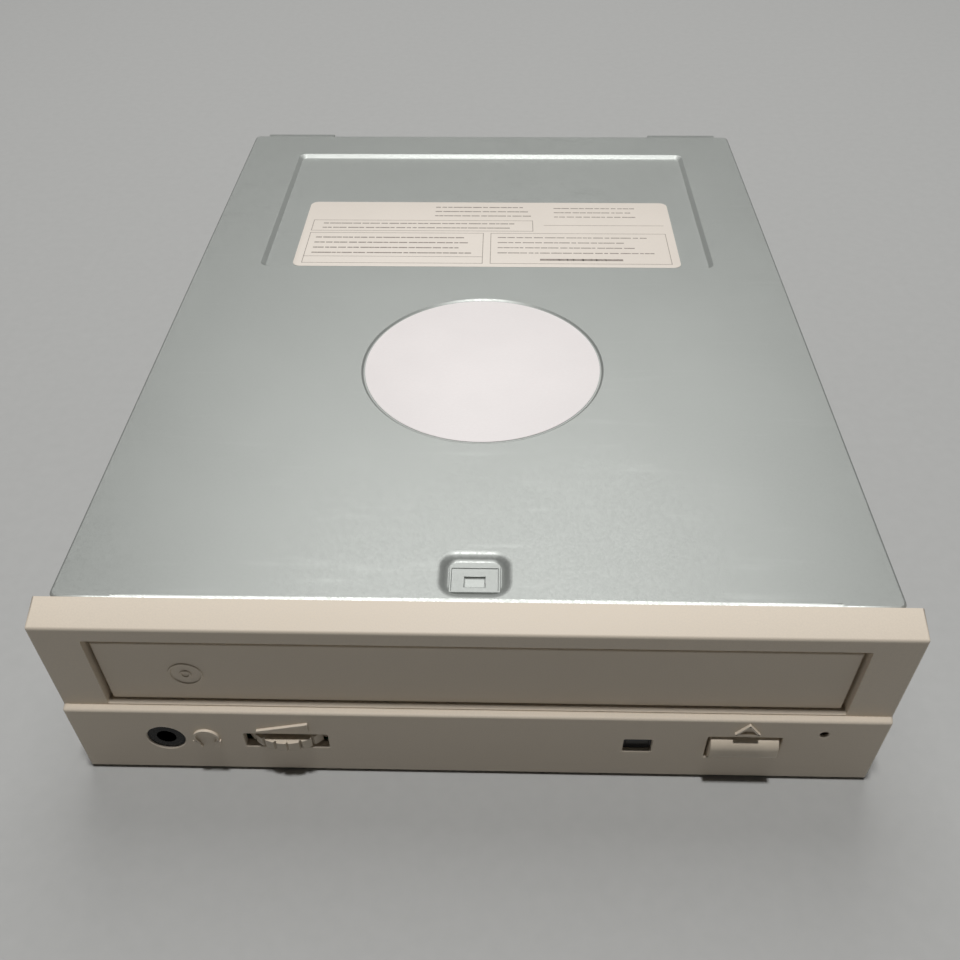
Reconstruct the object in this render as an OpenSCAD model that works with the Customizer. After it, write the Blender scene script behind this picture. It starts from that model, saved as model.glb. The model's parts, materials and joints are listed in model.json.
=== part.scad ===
// Half-height 5.25-inch tray-loading optical drive, in millimetres.
// X to the right seen from the front, Y to the back, Z up.
// Origin: underside, middle of the width, at the bezel's rear plane.

/* [Case] */
// Width over the side walls
case_w = 146.05; // [140:0.05:180]
// Depth behind the bezel
case_d = 184; // [178:0.5:230]
// Height of the cover's top face
case_h = 41.6; // [41:0.1:55]
// Sheet thickness of the bottom case
case_wall = 1; // [0.8:0.1:1.4]
// Sheet thickness of the top cover
cover_t = 0.8; // [0.6:0.05:1]
// Height of the bottom case's walls
wall_h = 36; // [34:0.5:38]

/* [Cover pressings] */
// Radius of the round recess for the blank label
round_recess_r = 26.2; // [20:0.1:32]
// Depth of the round recess
round_recess_depth = 0.3; // [0.2:0.05:0.4]
// Width of the rear recess
rear_recess_w = 113; // [90:0.5:128]
// Front edge of the rear recess
rear_recess_y = 107.3; // [98:0.1:125]
// Depth of the rear recess
rear_recess_depth = 0.9; // [0.5:0.05:1.2]
// Width of the front latch dimple
dimple_w = 13.1; // [10:0.1:20]
// Length of the front latch dimple
dimple_l = 10.75; // [9:0.05:16]
// Depth of the front latch dimple
dimple_depth = 1.5; // [1:0.05:2]

/* [Bezel] */
// How far the bezel stands out past each side wall
bezel_over = 1.225; // [0.5:0.005:2]
// How far the bezel's top stands above the cover
bezel_rise = 0.4; // [0.2:0.05:1]
// Depth of the bezel above the ledge
bezel_d = 5.8; // [5.4:0.05:8]
// How far the lower part stands out past the upper part
chin_step = 1.4; // [1.2:0.05:2]
// Height of the ledge between the two parts
ledge_z = 19.1; // [18.6:0.05:19.3]
// Thickness of the bezel's front wall
bezel_wall = 2; // [1.4:0.1:2.4]
// Width of the bezel beside the tray opening
side_post = 8.65; // [7:0.05:12]
// Bottom of the tray opening
opening_z = 19.4; // [19.3:0.05:20]
// Height of the tray opening
opening_h = 18.05; // [17.8:0.05:20]

/* [Tray] */
// Diameter of a full-size disc
disc_d = 120; // [120:1:120]
// Diameter of a small disc
small_disc_d = 80; // [80:1:80]
// Distance of the disc's centre behind the bezel
disc_y = 66.7; // [66:0.1:72]
// How far the tray slides out
tray_travel = 138; // [110:1:140]
// Rear end of the tray
tray_end = 160; // [158:0.5:162]
// Gap around the tray's front panel
front_gap = 0.7; // [0.3:0.05:1]

/* [Mechanism] */
// Angle that the traverse drops through
drop_angle = 3.4; // [2:0.1:3.6]
// How far the cam slider moves
cam_travel = 12; // [8:0.5:12]
// How far the pickup travels from the innermost track
sled_travel = 34; // [24:0.5:34]
// Teeth on the tray pinion
drive_teeth = 16; // [15:1:18]
// Module of the tray rack and pinion
rack_module = 1; // [0.8:0.05:1]
// Radius of the large belt pulley
pulley_r = 12; // [8:0.5:12]
// Radius of the motor's pulley
motor_pulley_r = 3; // [2.5:0.1:4]
// Radius of the pickup's guide rods
rod_r = 1.5; // [1:0.1:1.6]
// Radius of the gear posts
post_r = 1.5; // [1:0.1:1.6]

/* [Front controls] */
// Centre of the headphone jack across the front
jack_x = -56.85; // [-60:0.05:-54]
// Height of the headphone jack
jack_z = 10.55; // [10:0.05:11.5]
// Radius of the jack's bore for a 3.5 mm plug
jack_bore_r = 1.8; // [1.78:0.01:1.9]
// Radius of the jack's hole in the bezel
jack_hole_r = 3.5; // [3.2:0.05:4]
// Centre of the volume wheel across the front
wheel_x = -34.6; // [-36:0.1:-33]
// Radius of the volume wheel
wheel_r = 9.4; // [8.8:0.1:9.8]
// Thickness of the volume wheel
wheel_t = 2.1; // [1.5:0.1:2.6]
// Width of the eject button's hole
button_hole_w = 13.3; // [11:0.1:16]
// Centre of the eject button across the front
button_x = 48.75; // [46:0.05:52]
// Centre of the status window across the front
window_x = 29.7; // [26:0.1:34]
// Centre of the emergency eject hole
pin_hole_x = 62.5; // [61:0.1:64]
// Radius of the emergency eject hole
pin_hole_r = 0.8; // [0.6:0.05:1]

/* [Mounting holes] */
// Radius of the M3 mounting holes
mount_r = 1.5; // [1.25:0.05:1.6]
// Distance of the front mounting holes behind the bezel
mount_y = 47.4; // [44:0.1:52]
// Distance from the front to the rear mounting holes
mount_pitch = 79.25; // [70:0.05:90]
// Height of the lower row of side holes
mount_z = 10; // [9:0.1:12]
// Distance between the two rows of side holes
mount_rise = 11.84; // [9:0.02:13]
// Distance of the bottom holes in from the side wall
mount_in = 3.175; // [2.7:0.005:3.6]

/* [Hidden] */

e = 0.1;                      // overrun of a cut past a face
run = 0.05;                   // radial running clearance
gap = 0.1;                    // gap between sheet-metal parts
round_fn = 64;

// Colours
steel = "#9EA7A6";
beige = "#D6CBB8";
cream = "#E9E4D8";
black = "#26262A";
white = "#ECECEA";
green = "#2F6B45";
bright = "#B9BDBF";
brass = "#C2A24E";

// Case and cover
case_half = case_w / 2;
case_in = case_half - case_wall;
cover_half = case_in - gap;
cover_under = case_h - cover_t;
cover_end = case_d - 0.15;
flange_z = wall_h - 4;
recess_end = case_d - 12.7;
recess_floor = case_h - rear_recess_depth;
label_inset = 7.8;
label_l = 33.9;
tab_x0 = 48;
tab_x1 = 68;
tab_end = case_d + 1.25;
dimple_y0 = 1.25;
pad_in = 2.2;
pad_drop = 0.7;
tongue_half = 1.96;
joggle_half = 61;
joggle_d = 0.9;
mount_ys = [mount_y, mount_y + mount_pitch];
mount_zs = [mount_z, mount_z + mount_rise];
mount_x = case_half - mount_in;

// Bezel
bezel_half = case_half + bezel_over;
bezel_h = case_h + bezel_rise;
chin_d = bezel_d + chin_step;
bezel_draft_x = 0.35;
bezel_draft_top = 1.35;
bezel_draft_bottom = 0.6;
opening_half = bezel_half - side_post;
opening_top = opening_z + opening_h;
cavity_half = case_in;
shelf_t = 1.7;
chin_back = -chin_d + bezel_wall;
slot_w = 15.5;
slot_z = [8.2, 12.4];
button_hole_z = [7.2, 13.85];
window_w = 5.2;
window_z = [8.6, 12.5];
pin_hole_z = 15.14;
clip_y = [4.5, 7];
clip_z = [12.5, 17.5];

// Tray
tray_half = opening_half - 1;
plate_z = 28.5;
plate_t = 2;
rim_top = 33.5;
skirt_z = 24.5;
skirt_t = 2;
well_r = disc_d / 2 + 0.5;
small_well_r = small_disc_d / 2 + 0.5;
small_well_drop = 0.8;
slot_half = 22;
front_panel_t = 2.4;
front_recess = 1;
front_face = -bezel_d + front_recess;
tray_start = front_face + front_panel_t;

// Loader frame
frame_in = tray_half + 0.6;
frame_t = 2;
frame_out = frame_in + frame_t;
frame_y0 = 4;
frame_y1 = tray_end + 6;
frame_z = [8, 34.8];
ledge_w = 4.2;
ledge_top = skirt_z - 0.2;
beam_z = [13, 14.5];
beam_y = [8, 34];
leg_w = 7.2;
leg_x = frame_out - leg_w / 2;
leg_ys = [beam_y[1] - 4, frame_y1 - 4];
dimple_foot = 2.5;
head_r = 2.6;
screw_r = 1.2;

// Loading gears
pressure = 20;
lash = 0.14;
gear_add = 0.75;
gear_ded = 1.15;
drive_r = drive_teeth * rack_module / 2;
rack_x = tray_half - 10.6;
drive_pos = [rack_x - drive_r, 20];
wheel_module = 0.6;
wheel_teeth = 36;
pulley_teeth = 14;
pulley_pos = drive_pos - [(wheel_teeth + pulley_teeth) * wheel_module / 2, 0];
motor_pos = [-8, pulley_pos[1]];
pulley_z = [15.2, 18.4];
wheel_z = [19.6, 22];
pinion_z = [22, 28];
belt_w = 1.4;
groove = 1;
motor_r = 11.5;

// Traverse
pivot_y = tray_end - 10;
pivot_z = 16;
base_z = [14.5, 16.5];
base_half = 34;
base_y = [45, pivot_y + 2];
cam_pin_r = 1.5;
cam_pin_x = 20;
cam_pin_z = 15.5;
cam_y = [36, 38];
cam_z = [6.4, 19];
cam_x = [-50, 46];
cam_arm = pivot_y - (cam_y[0] + cam_y[1]) / 2;
cam_drop = cam_arm * sin(drop_angle);
channel_w = 6;
channel_xs = [-34, 34];
ear_x = [38, 42];
motor_top = 27;
table_z = [28.3, 31.2];
table_r = 14.5;
mat_t = 0.3;
cone_top = 34;
cone_r = [7.3, 5.5];
rod_x = 24;
rod_z = 21.5;
rod_y = [74, pivot_y + 0.5];
sled_y = [84, 112];
sled_z = [18, 24.8];
sled_half = 19;
lens_y = 91.7;
holder_y = [lens_y - 4, lens_y + 4];
sled_module = 0.5;
sled_teeth = 16;
sled_wheel_teeth = 36;
sled_motor_teeth = 12;
sled_rack_x = 31;
sled_rack_z = [20, 22.5];
sled_gear_pos = [sled_rack_x + sled_teeth * sled_module / 2, 115];
sled_motor_pos = sled_gear_pos + [0, (sled_wheel_teeth + sled_motor_teeth) * sled_module / 2];

// Clamp
bridge_z = [35.6, 36.6];
bridge_y = 9;
clamp_hole_r = 12.5;
boss_w = 3.4;
boss_x = frame_out + boss_w / 2;

// Boards
board_t = 1.6;
board_z = case_wall + 1.8;
board_top = board_z + board_t;
board_half = 58;
board_y0 = 42;
tail_half = case_in - 2;
tail_y = case_d - 16;
board_y1 = case_d - case_wall - 0.5;
board_hole_x = 52;
board_hole_ys = [50, tail_y - 8];
fboard_z = 5.5;
fboard_top = fboard_z + board_t;
fboard_y0 = chin_back + 0.4;
fboard_half = 66;
pot_pos = [wheel_x, 0.85];
wheel_mid_z = 10.35;
socket_end = case_d + 0.3;
ide_x = -4;
ide_size = [56, 12, 9];
ide_cols = 20;
pin_pitch = 2.54;
power_x = -54;
power_size = [24, 15, 12];
power_pitch = 5.08;
jumper_x = 37;
audio_xs = [51, 62.5];
audio_ws = [11, 6.5];
audio_size = [11, 11, 7.5];
cutout_gap = 0.5;
jumper_cut = [9, 0, 8];
chip_list = [[0, 122, 20, 20], [-26, 92, 14, 14], [22, 84, 18, 10], [-8, 62, 24, 9]];
switch_y = [-1.6, 2.4];
button_z = [7.6, 13.4];

module box(x, y, z) {
    translate([x[0], y[0], z[0]]) cube([x[1] - x[0], y[1] - y[0], z[1] - z[0]]);
}

// A box the same distance each side of the middle
module mid_box(half, y, z) {
    box([-half, half], y, z);
}

module rod_x_axis(x, y, z, r, fn = round_fn) {
    translate([x[0], y, z]) rotate([0, 90, 0]) cylinder(h = x[1] - x[0], r = r, $fn = fn);
}

module rod_y_axis(x, y, z, r, fn = round_fn) {
    translate([x, y[0], z]) rotate([-90, 0, 0]) cylinder(h = y[1] - y[0], r = r, $fn = fn);
}

module disc(pos, z, r, fn = round_fn) {
    translate([pos[0], pos[1], z[0]]) cylinder(h = z[1] - z[0], r = r, $fn = fn);
}

module both_sides() {
    children();
    mirror([1, 0, 0]) children();
}

// Plan of a rectangle with round corners, drawn from its edges
module round_plan(x, y, r) {
    translate([x[0] + r, y[0]]) square([x[1] - x[0] - 2 * r, y[1] - y[0]]);
    translate([x[0], y[0] + r]) square([x[1] - x[0], y[1] - y[0] - 2 * r]);
    for (cx = [x[0] + r, x[1] - r], cy = [y[0] + r, y[1] - r])
        translate([cx, cy]) circle(r = r, $fn = 32);
}

module round_slab(x, y, z, r) {
    translate([0, 0, z[0]]) linear_extrude(z[1] - z[0]) round_plan(x, y, r);
}

// Involute gears. Angles are in degrees.
function involute(a) = (tan(a) - a * PI / 180) * 180 / PI;
function half_tooth(r, n, m) =
    let (pitch_r = n * m / 2, base_r = pitch_r * cos(pressure))
    90 / n - lash / 4 / pitch_r * 180 / PI + involute(pressure)
        - involute(r > base_r ? acos(base_r / r) : 0);
function polar(r, a) = [r * cos(a), r * sin(a)];

module gear_plan(n, m, phase) {
    pitch_r = n * m / 2;
    tip = pitch_r + gear_add * m;
    root = pitch_r - gear_ded * m;
    start = max(pitch_r * cos(pressure), root + 0.05 * m);
    radii = [root, start, (start + tip) / 2, tip];
    polygon([for (i = [0:n - 1], k = [0:7])
        let (r = radii[k < 4 ? k : 7 - k], side = k < 4 ? -1 : 1)
        polar(r, phase + i * 360 / n + side * half_tooth(r, n, m))]);
}

module gear(pos, z, n, m, phase) {
    translate([pos[0], pos[1], z[0]]) linear_extrude(z[1] - z[0]) gear_plan(n, m, phase);
}

// Rack along Y with its teeth towards -X, pitch line at x = 0, a gap at y = 0
module rack_plan(m, before, after, back) {
    pitch = PI * m;
    half = pitch / 4 - lash / 4;
    rise = tan(pressure) * m;
    polygon(concat(
        [[back, (after + 1) * pitch], [back, -before * pitch]],
        [[gear_ded * m, -before * pitch]],
        [for (i = [-before:after], k = [0:3])
            let (side = k < 2 ? -1 : 1, out = k == 1 || k == 2)
            [out ? -gear_add * m : gear_ded * m,
             (i + 0.5) * pitch + side * (half + rise * (out ? -gear_add : gear_ded))]],
        [[gear_ded * m, (after + 1) * pitch]]));
}

// ---- Casing ----

module bottom_case() {
    color(steel) difference() {
        union() {
            mid_box(case_half, [0, case_d], [0, case_wall]);
            both_sides() box([case_in, case_half], [0, case_d], [0, wall_h]);
            mid_box(case_half, [case_d - case_wall, case_d], [0, wall_h]);
            both_sides() for (y = leg_ys)
                disc([leg_x, y], [0, dimple_foot], head_r + 1.4);
            both_sides() for (y = board_hole_ys)
                disc([board_hole_x, y], [0, board_z], 3);
        }
        both_sides() for (y = leg_ys) {
            disc([leg_x, y], [-e, dimple_foot - case_wall], head_r + 0.4);
            disc([leg_x, y], [-e, dimple_foot + e], screw_r + gap);
        }
        both_sides() for (y = board_hole_ys)
            disc([board_hole_x, y], [-e, board_z + e], screw_r);
        both_sides() for (y = mount_ys) {
            disc([mount_x, y], [-e, case_wall + e], mount_r);
            for (z = mount_zs)
                rod_x_axis([case_in - e, case_half + e], y, z, mount_r);
        }
        both_sides() box([case_in - e, case_half + e], clip_y + [-0.3, 0.3], clip_z + [-0.3, 0.3]);
        rear_cut(ide_x, ide_size);
        rear_cut(power_x, power_size);
        rear_cut(jumper_x, jumper_cut);
        for (i = [0, 1]) rear_cut(audio_xs[i], [audio_ws[i], 0, audio_size[2]]);
    }
}

// A connector's cut-out in the rear wall
module rear_cut(x, size) {
    half = size[0] / 2 + cutout_gap;
    box([x - half, x + half], [case_d - case_wall - e, case_d + e],
        [board_top - cutout_gap, board_top + size[2] + cutout_gap]);
}

module top_cover() {
    half = rear_recess_w / 2;
    dimple_floor = case_h - dimple_depth;
    dimple_y = [dimple_y0, dimple_y0 + dimple_l];
    color(steel) difference() {
        union() {
            mid_box(cover_half, [0.1, cover_end], [cover_under, case_h]);
            both_sides() {
                box([cover_half - cover_t, cover_half], [0.6, case_d - case_wall - gap],
                    [flange_z, case_h]);
                box([tab_x0, tab_x1], [cover_end - e, tab_end], [cover_under, case_h]);
                box([tab_x0, tab_x1], [tab_end - cover_t, tab_end], [flange_z, case_h]);
                box([tab_x1 + gap, cover_half], [cover_end - cover_t, cover_end],
                    [wall_h + gap, case_h]);
            }
            mid_box(tab_x0 - 0.5, [cover_end - cover_t, cover_end], [wall_h + gap, case_h]);
            mid_box(half + cover_t, [rear_recess_y - cover_t, recess_end + cover_t],
                [recess_floor - cover_t, case_h]);
            round_slab([-dimple_w / 2 - cover_t, dimple_w / 2 + cover_t],
                dimple_y + [-cover_t, cover_t], [dimple_floor - cover_t, case_h], 3);
        }
        round_slab([-half, half], [rear_recess_y, recess_end], [recess_floor, case_h + e], 2);
        disc([0, disc_y], [case_h - round_recess_depth, case_h + e], round_recess_r, 96);
        difference() {
            round_slab([-dimple_w / 2, dimple_w / 2], dimple_y, [dimple_floor, case_h + e], 3);
            round_slab([-dimple_w / 2 + pad_in, dimple_w / 2 - pad_in],
                dimple_y + [pad_in, -pad_in], [dimple_floor - e, case_h - pad_drop], 1);
        }
        mid_box(joggle_half, [0, joggle_d], [case_h - cover_t / 2, case_h + e]);
    }
    color(steel) mid_box(tongue_half, dimple_y + [3.55, -4.7],
        [case_h - pad_drop - 0.01, case_h - pad_drop / 2]);
}

module bezel() {
    color(beige) difference() {
        union() {
            hull() {
                mid_box(bezel_half, [-e, 0], [0, bezel_h]);
                mid_box(bezel_half - bezel_draft_x, [-bezel_d, -bezel_d + e],
                    [bezel_draft_bottom, bezel_h - bezel_draft_top]);
            }
            hull() {
                mid_box(bezel_half, [-e, 0], [0, ledge_z]);
                mid_box(bezel_half - 2 * bezel_draft_x, [-chin_d, -chin_d + e],
                    [bezel_draft_bottom, ledge_z]);
            }
            both_sides() {
                box([case_in - gap - 1.6, case_in - gap], [-1, clip_y[1] + 1], clip_z);
                box([case_in - gap - 1, case_in + 0.6], clip_y, clip_z);
                box([case_in - gap - 1.6, case_in + 0.2], [-bezel_wall - 1.2, -0.5], clip_z);
            }
        }
        mid_box(cavity_half, [-bezel_d + bezel_wall, e], [opening_z, bezel_h - bezel_wall]);
        difference() {
            mid_box(cavity_half, [chin_back, e], [bezel_wall, opening_z - shelf_t - 0.3]);
            both_sides() box([case_in - gap - 1.6, case_in + 0.2], [chin_back, e], clip_z);
        }
        mid_box(opening_half, [-chin_d - e, 0], [opening_z, opening_top]);
        rod_y_axis(jack_x, [-chin_d - e, 0], jack_z, jack_hole_r);
        rod_y_axis(pin_hole_x, [-chin_d - e, 0], pin_hole_z, pin_hole_r);
        box([wheel_x - slot_w / 2, wheel_x + slot_w / 2], [-chin_d - e, 0], slot_z);
        box([button_x - button_hole_w / 2, button_x + button_hole_w / 2], [-chin_d - e, 0],
            button_hole_z);
        box([window_x - window_w / 2, window_x + window_w / 2], [-chin_d - e, 0], window_z);
    }
}

module round_label() {
    floor_z = case_h - round_recess_depth;
    color(white) disc([0, disc_y], [floor_z, floor_z + 0.12], round_recess_r - 0.8, 96);
}

module rating_label() {
    half = rear_recess_w / 2 - label_inset;
    y0 = rear_recess_y + 1.5;
    color(cream) round_slab([-half, half], [y0, y0 + label_l],
        [recess_floor, recess_floor + 0.1], 2);
}

// ---- Loader frame and clamp ----

module loader_frame() {
    ear_z = [beam_z[0] - 2, pivot_z + 4];
    color(black) difference() {
        union() {
            both_sides() {
                box([frame_in, frame_out], [frame_y0, frame_y1], frame_z);
                box([frame_in - ledge_w, frame_in + e], [frame_y0, frame_y1],
                    [ledge_top - 2.3, ledge_top]);
                for (y = [12, 92, 146])
                    box([frame_in - ledge_w, frame_in + e], [y, y + 8],
                        [rim_top + 0.3, frame_z[1]]);
                for (y = leg_ys)
                    box([frame_out - leg_w, frame_out], [y - 4, y + 4],
                        [dimple_foot, beam_z[1]]);
                box([frame_out - e, frame_out + boss_w], [disc_y - 5, disc_y + 5],
                    [bridge_z[0] - 8, bridge_z[0]]);
                box(ear_x, [pivot_y - 4, frame_y1 - 6], ear_z);
            }
            mid_box(frame_in + e, beam_y, beam_z);
            mid_box(frame_in + e, [frame_y1 - 9, frame_y1], [frame_z[0], ear_z[0] + 3]);
            for (x = channel_xs) cam_channel(x);
            disc(drive_pos, [beam_z[0], pinion_z[1] + 0.3], post_r);
            disc(pulley_pos, [beam_z[0], wheel_z[1] + 0.8], post_r);
            disc(drive_pos, [beam_z[0], wheel_z[0] - gap], 3);
            for (p = [[-46, 13], [60, 11]]) disc(p, [fboard_top, beam_z[1]], 2);
        }
        disc(motor_pos, [0, beam_z[1] + e], 4);
        both_sides() {
            rod_x_axis([ear_x[0] - e, ear_x[1] + e], pivot_y, pivot_z, 1.5 + run);
            for (y = leg_ys) disc([leg_x, y], [0, beam_z[1] - 2], screw_r + 0.02);
            disc([boss_x, disc_y], [bridge_z[0] - 6, bridge_z[0] + e], 0.82);
        }
    }
}

// U-shaped guide that the cam slider runs in
module cam_channel(x) {
    xs = [x - channel_w / 2, x + channel_w / 2];
    floor_z = [cam_z[0] - 1.5, cam_z[0] - gap];
    box(xs, [cam_y[0] - 3, cam_y[1] + 1.6], floor_z);
    box(xs, [cam_y[0] - 3, cam_y[0] - gap], [floor_z[0], beam_z[1]]);
    box(xs, [cam_y[1] + gap, cam_y[1] + 1.6], [floor_z[0], beam_z[0] - 1]);
}

module clamp_bridge() {
    end = frame_out + boss_w;
    color(bright) difference() {
        union() {
            mid_box(end, [disc_y - bridge_y, disc_y + bridge_y], bridge_z);
            disc([0, disc_y], bridge_z, clamp_hole_r + 9);
            mid_box(frame_in - 6, [disc_y - bridge_y, disc_y - bridge_y + 1],
                [bridge_z[0], bridge_z[1] + 1.4]);
            mid_box(frame_in - 6, [disc_y + bridge_y - 1, disc_y + bridge_y],
                [bridge_z[0], bridge_z[1] + 1.4]);
        }
        disc([0, disc_y], [bridge_z[0] - e, bridge_z[1] + 2], clamp_hole_r);
        disc([0, disc_y], [bridge_z[1], bridge_z[1] + 2], clamp_hole_r + 3);
        both_sides() disc([boss_x, disc_y], [bridge_z[0] - e, bridge_z[1] + e], 1);
    }
}

module screw(pos, z, r, head, head_t) {
    difference() {
        union() {
            disc(pos, [z[0], z[1]], r, 24);
            disc(pos, [z[1], z[1] + head_t], head, 32);
        }
        for (a = [0, 90]) translate([pos[0], pos[1], z[1] + head_t / 2]) rotate([0, 0, a])
            box([-head * 0.55, head * 0.55], [-0.25, 0.25], [0, head_t]);
    }
}

module bridge_screws() {
    color(bright) both_sides()
        screw([boss_x, disc_y], [bridge_z[0] - 5, bridge_z[1]], 0.8, 1.6, 1);
}

module frame_screws() {
    shoulder = dimple_foot - case_wall;
    color(bright) both_sides() for (y = leg_ys)
        translate([0, 0, shoulder]) mirror([0, 0, 1])
            screw([leg_x, y], [-8.5, 0], screw_r, head_r, shoulder - 0.2);
}

module board_screws() {
    color(bright) both_sides() for (y = board_hole_ys)
        screw([board_hole_x, y], [case_wall, board_top], screw_r - 0.02, 2.2, 1.2);
}

// ---- Boards and connectors ----

module main_board() {
    color(green) difference() {
        union() {
            mid_box(board_half, [board_y0, tail_y + e], [board_z, board_top]);
            mid_box(tail_half, [tail_y, board_y1], [board_z, board_top]);
        }
        both_sides() for (y = board_hole_ys)
            disc([board_hole_x, y], [board_z - e, board_top + e], screw_r + gap);
    }
}

module insulator_sheet() {
    color(black) difference() {
        mid_box(board_half - 1, [board_y0 + 1, tail_y - 2], [case_wall, case_wall + 0.2]);
        both_sides() for (y = board_hole_ys)
            disc([board_hole_x, y], [case_wall - e, case_wall + 0.3], 3.3);
    }
}

module board_chips() {
    color(black) for (c = chip_list)
        box([c[0] - c[2] / 2, c[0] + c[2] / 2], [c[1] - c[3] / 2, c[1] + c[3] / 2],
            [board_top, board_top + 1.4]);
}

module capacitors() {
    color(bright) for (p = [[-49, 66], [-49, 76], [-49, 100], [50, 70], [50, 98]])
        disc(p, [board_top, board_top + 5], 3, 32);
}

// Plug shell with one open end at the rear
module socket(x, size, wall, depth) {
    xs = [x - size[0] / 2, x + size[0] / 2];
    difference() {
        box(xs, [socket_end - size[1], socket_end], [board_top, board_top + size[2]]);
        box(xs + [wall, -wall], [socket_end - depth, socket_end + e],
            [board_top + wall, board_top + size[2] - wall]);
    }
}

module ide_connector() {
    color(black) difference() {
        socket(ide_x, ide_size, 1.2, 8.5);
        box([ide_x - 2.2, ide_x + 2.2], [socket_end - 8.5, socket_end + e],
            [board_top + ide_size[2] - 1.4, board_top + ide_size[2] + e]);
    }
}

// Square pins from the back wall of a socket towards the rear
module pin(x, z, depth, reach) {
    box([x - 0.32, x + 0.32], [socket_end - depth, socket_end - depth + reach],
        [z - 0.32, z + 0.32]);
}

module ide_pins() {
    mid_z = board_top + ide_size[2] / 2;
    color(brass) for (i = [0:ide_cols - 1], row = [-0.5, 0.5])
        if (!(i == 10 && row < 0))
            pin(ide_x + (i - (ide_cols - 1) / 2) * pin_pitch, mid_z + row * pin_pitch, 8.5, 6.5);
}

module power_connector() {
    color(white) difference() {
        socket(power_x, power_size, 1.4, 11);
        for (s = [-1, 1]) translate([power_x + s * power_size[0] / 2, 0, board_top + power_size[2]])
            rotate([0, 45, 0]) box([-2, 2], [socket_end - 16, socket_end + e], [-2, 2]);
    }
}

module power_pins() {
    mid_z = board_top + power_size[2] / 2;
    color(bright) for (i = [0:3])
        rod_y_axis(power_x + (i - 1.5) * power_pitch, [socket_end - 11, socket_end - 2],
            mid_z, 1.05, 24);
}

module jumper_block() {
    color(black) box([jumper_x - 4, jumper_x + 4], [socket_end - 9, socket_end - 6.5],
        [board_top, board_top + 6]);
    color(brass) for (i = [-1:1], row = [0, 1])
        pin(jumper_x + i * pin_pitch, board_top + 1.7 + row * pin_pitch, 6.6, 6);
}

module jumper_cap() {
    x = jumper_x + pin_pitch;
    color(black) difference() {
        box([x - 1.1, x + 1.1], [socket_end - 6.2, socket_end - 0.3],
            [board_top + 0.5, board_top + 5.4]);
        for (row = [0, 1])
            box([x - 0.4, x + 0.4], [socket_end - 7, socket_end - 0.4],
                [board_top + 1.3 + row * pin_pitch, board_top + 2.1 + row * pin_pitch]);
    }
}

module audio_connectors() {
    color(white) for (i = [0, 1])
        socket(audio_xs[i], [audio_ws[i], audio_size[1], audio_size[2]], 0.9, 8);
}

module audio_pins() {
    color(bright) for (i = [0, 1], k = [0:(i == 0 ? 3 : 1)])
        pin(audio_xs[i] + (k - (i == 0 ? 1.5 : 0.5)) * 2, board_top + audio_size[2] / 2, 8, 6);
}

module front_board() {
    color(green) {
        mid_box(fboard_half, [fboard_y0, 6], [fboard_z, fboard_top]);
        box([-fboard_half, -24], [6 - e, 18], [fboard_z, fboard_top]);
        box([24, fboard_half], [6 - e, 14], [fboard_z, fboard_top]);
    }
}

module headphone_jack() {
    nose_y = -chin_d + 0.35;
    body_y = chin_back + 0.4;
    color(black) difference() {
        union() {
            box([jack_x - 5.5, jack_x + 5.5], [body_y, 7.6], [fboard_top, jack_z + 3.4]);
            rod_y_axis(jack_x, [nose_y, body_y + e], jack_z, jack_hole_r - 0.1);
        }
        rod_y_axis(jack_x, [nose_y - e, 6.8], jack_z, jack_bore_r);
    }
}

module volume_pot() {
    color(bright) {
        disc(pot_pos, [fboard_top, wheel_mid_z - wheel_t / 2 - 0.2], 5.2);
        disc(pot_pos, [fboard_top, wheel_mid_z + wheel_t / 2 + 0.6], 1.5);
    }
}

module volume_wheel() {
    notches = 28;
    deep = 0.45;
    color(beige) translate([pot_pos[0], pot_pos[1], wheel_mid_z - wheel_t / 2])
        linear_extrude(wheel_t) difference() {
            polygon([for (i = [0:notches - 1], k = [[0, 1], [0.62, 1], [0.72, 0], [0.9, 0]])
                polar(wheel_r - (1 - k[1]) * deep, (i + k[0]) * 360 / notches)]);
            circle(r = 1.5 + run, $fn = 32);
        }
}

module eject_switch() {
    color(black) difference() {
        box([button_x - 3, button_x + 3], switch_y, [fboard_top, fboard_top + 6.4]);
        rod_y_axis(button_x, [switch_y[0] - e, switch_y[0] + 2], fboard_top + 3.4, 1.3 + run);
    }
}

module switch_plunger() {
    color(bright) rod_y_axis(button_x, [switch_y[0] - 1, switch_y[0] + 0.9],
        fboard_top + 3.4, 1.3, 32);
}

module eject_button() {
    half = button_hole_w / 2 - 0.5;
    front = -chin_d - 1.15;
    flange_y = [chin_back + 0.15, chin_back + 1.05];
    color(beige) difference() {
        union() {
            box([button_x - half, button_x + half], [front + 0.5, flange_y[1]], button_z);
            box([button_x - half + 0.5, button_x + half - 0.5], [front, front + 0.6],
                button_z + [0.4, -0.4]);
            box([button_x - half - 1.2, button_x + half + 1.2], flange_y,
                [fboard_top + 0.3, button_z[1] + 1]);
            box([button_x - 1.5, button_x + 1.5], [flange_y[0], switch_y[0] - 1 - 0.02],
                [fboard_top + 1.9, fboard_top + 4.9]);
        }
        box([button_x - 2, button_x + 2], [front - e, front + 0.5],
            [button_z[1] - 0.9, button_z[1] + e]);
    }
}

module status_led() {
    mid_z = (window_z[0] + window_z[1]) / 2;
    led_y = chin_back + 1.9;
    color(green) {
        rod_y_axis(window_x, [led_y, led_y + 2.6], mid_z, 1.5, 32);
        rod_y_axis(window_x, [led_y + 1.8, led_y + 2.8], mid_z, 1.8, 32);
    }
    color(bright) for (s = [-0.9, 0.9]) box([window_x + s - 0.25, window_x + s + 0.25],
        [led_y + 2.7, led_y + 3.2], [fboard_top, mid_z + 0.3]);
}

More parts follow.
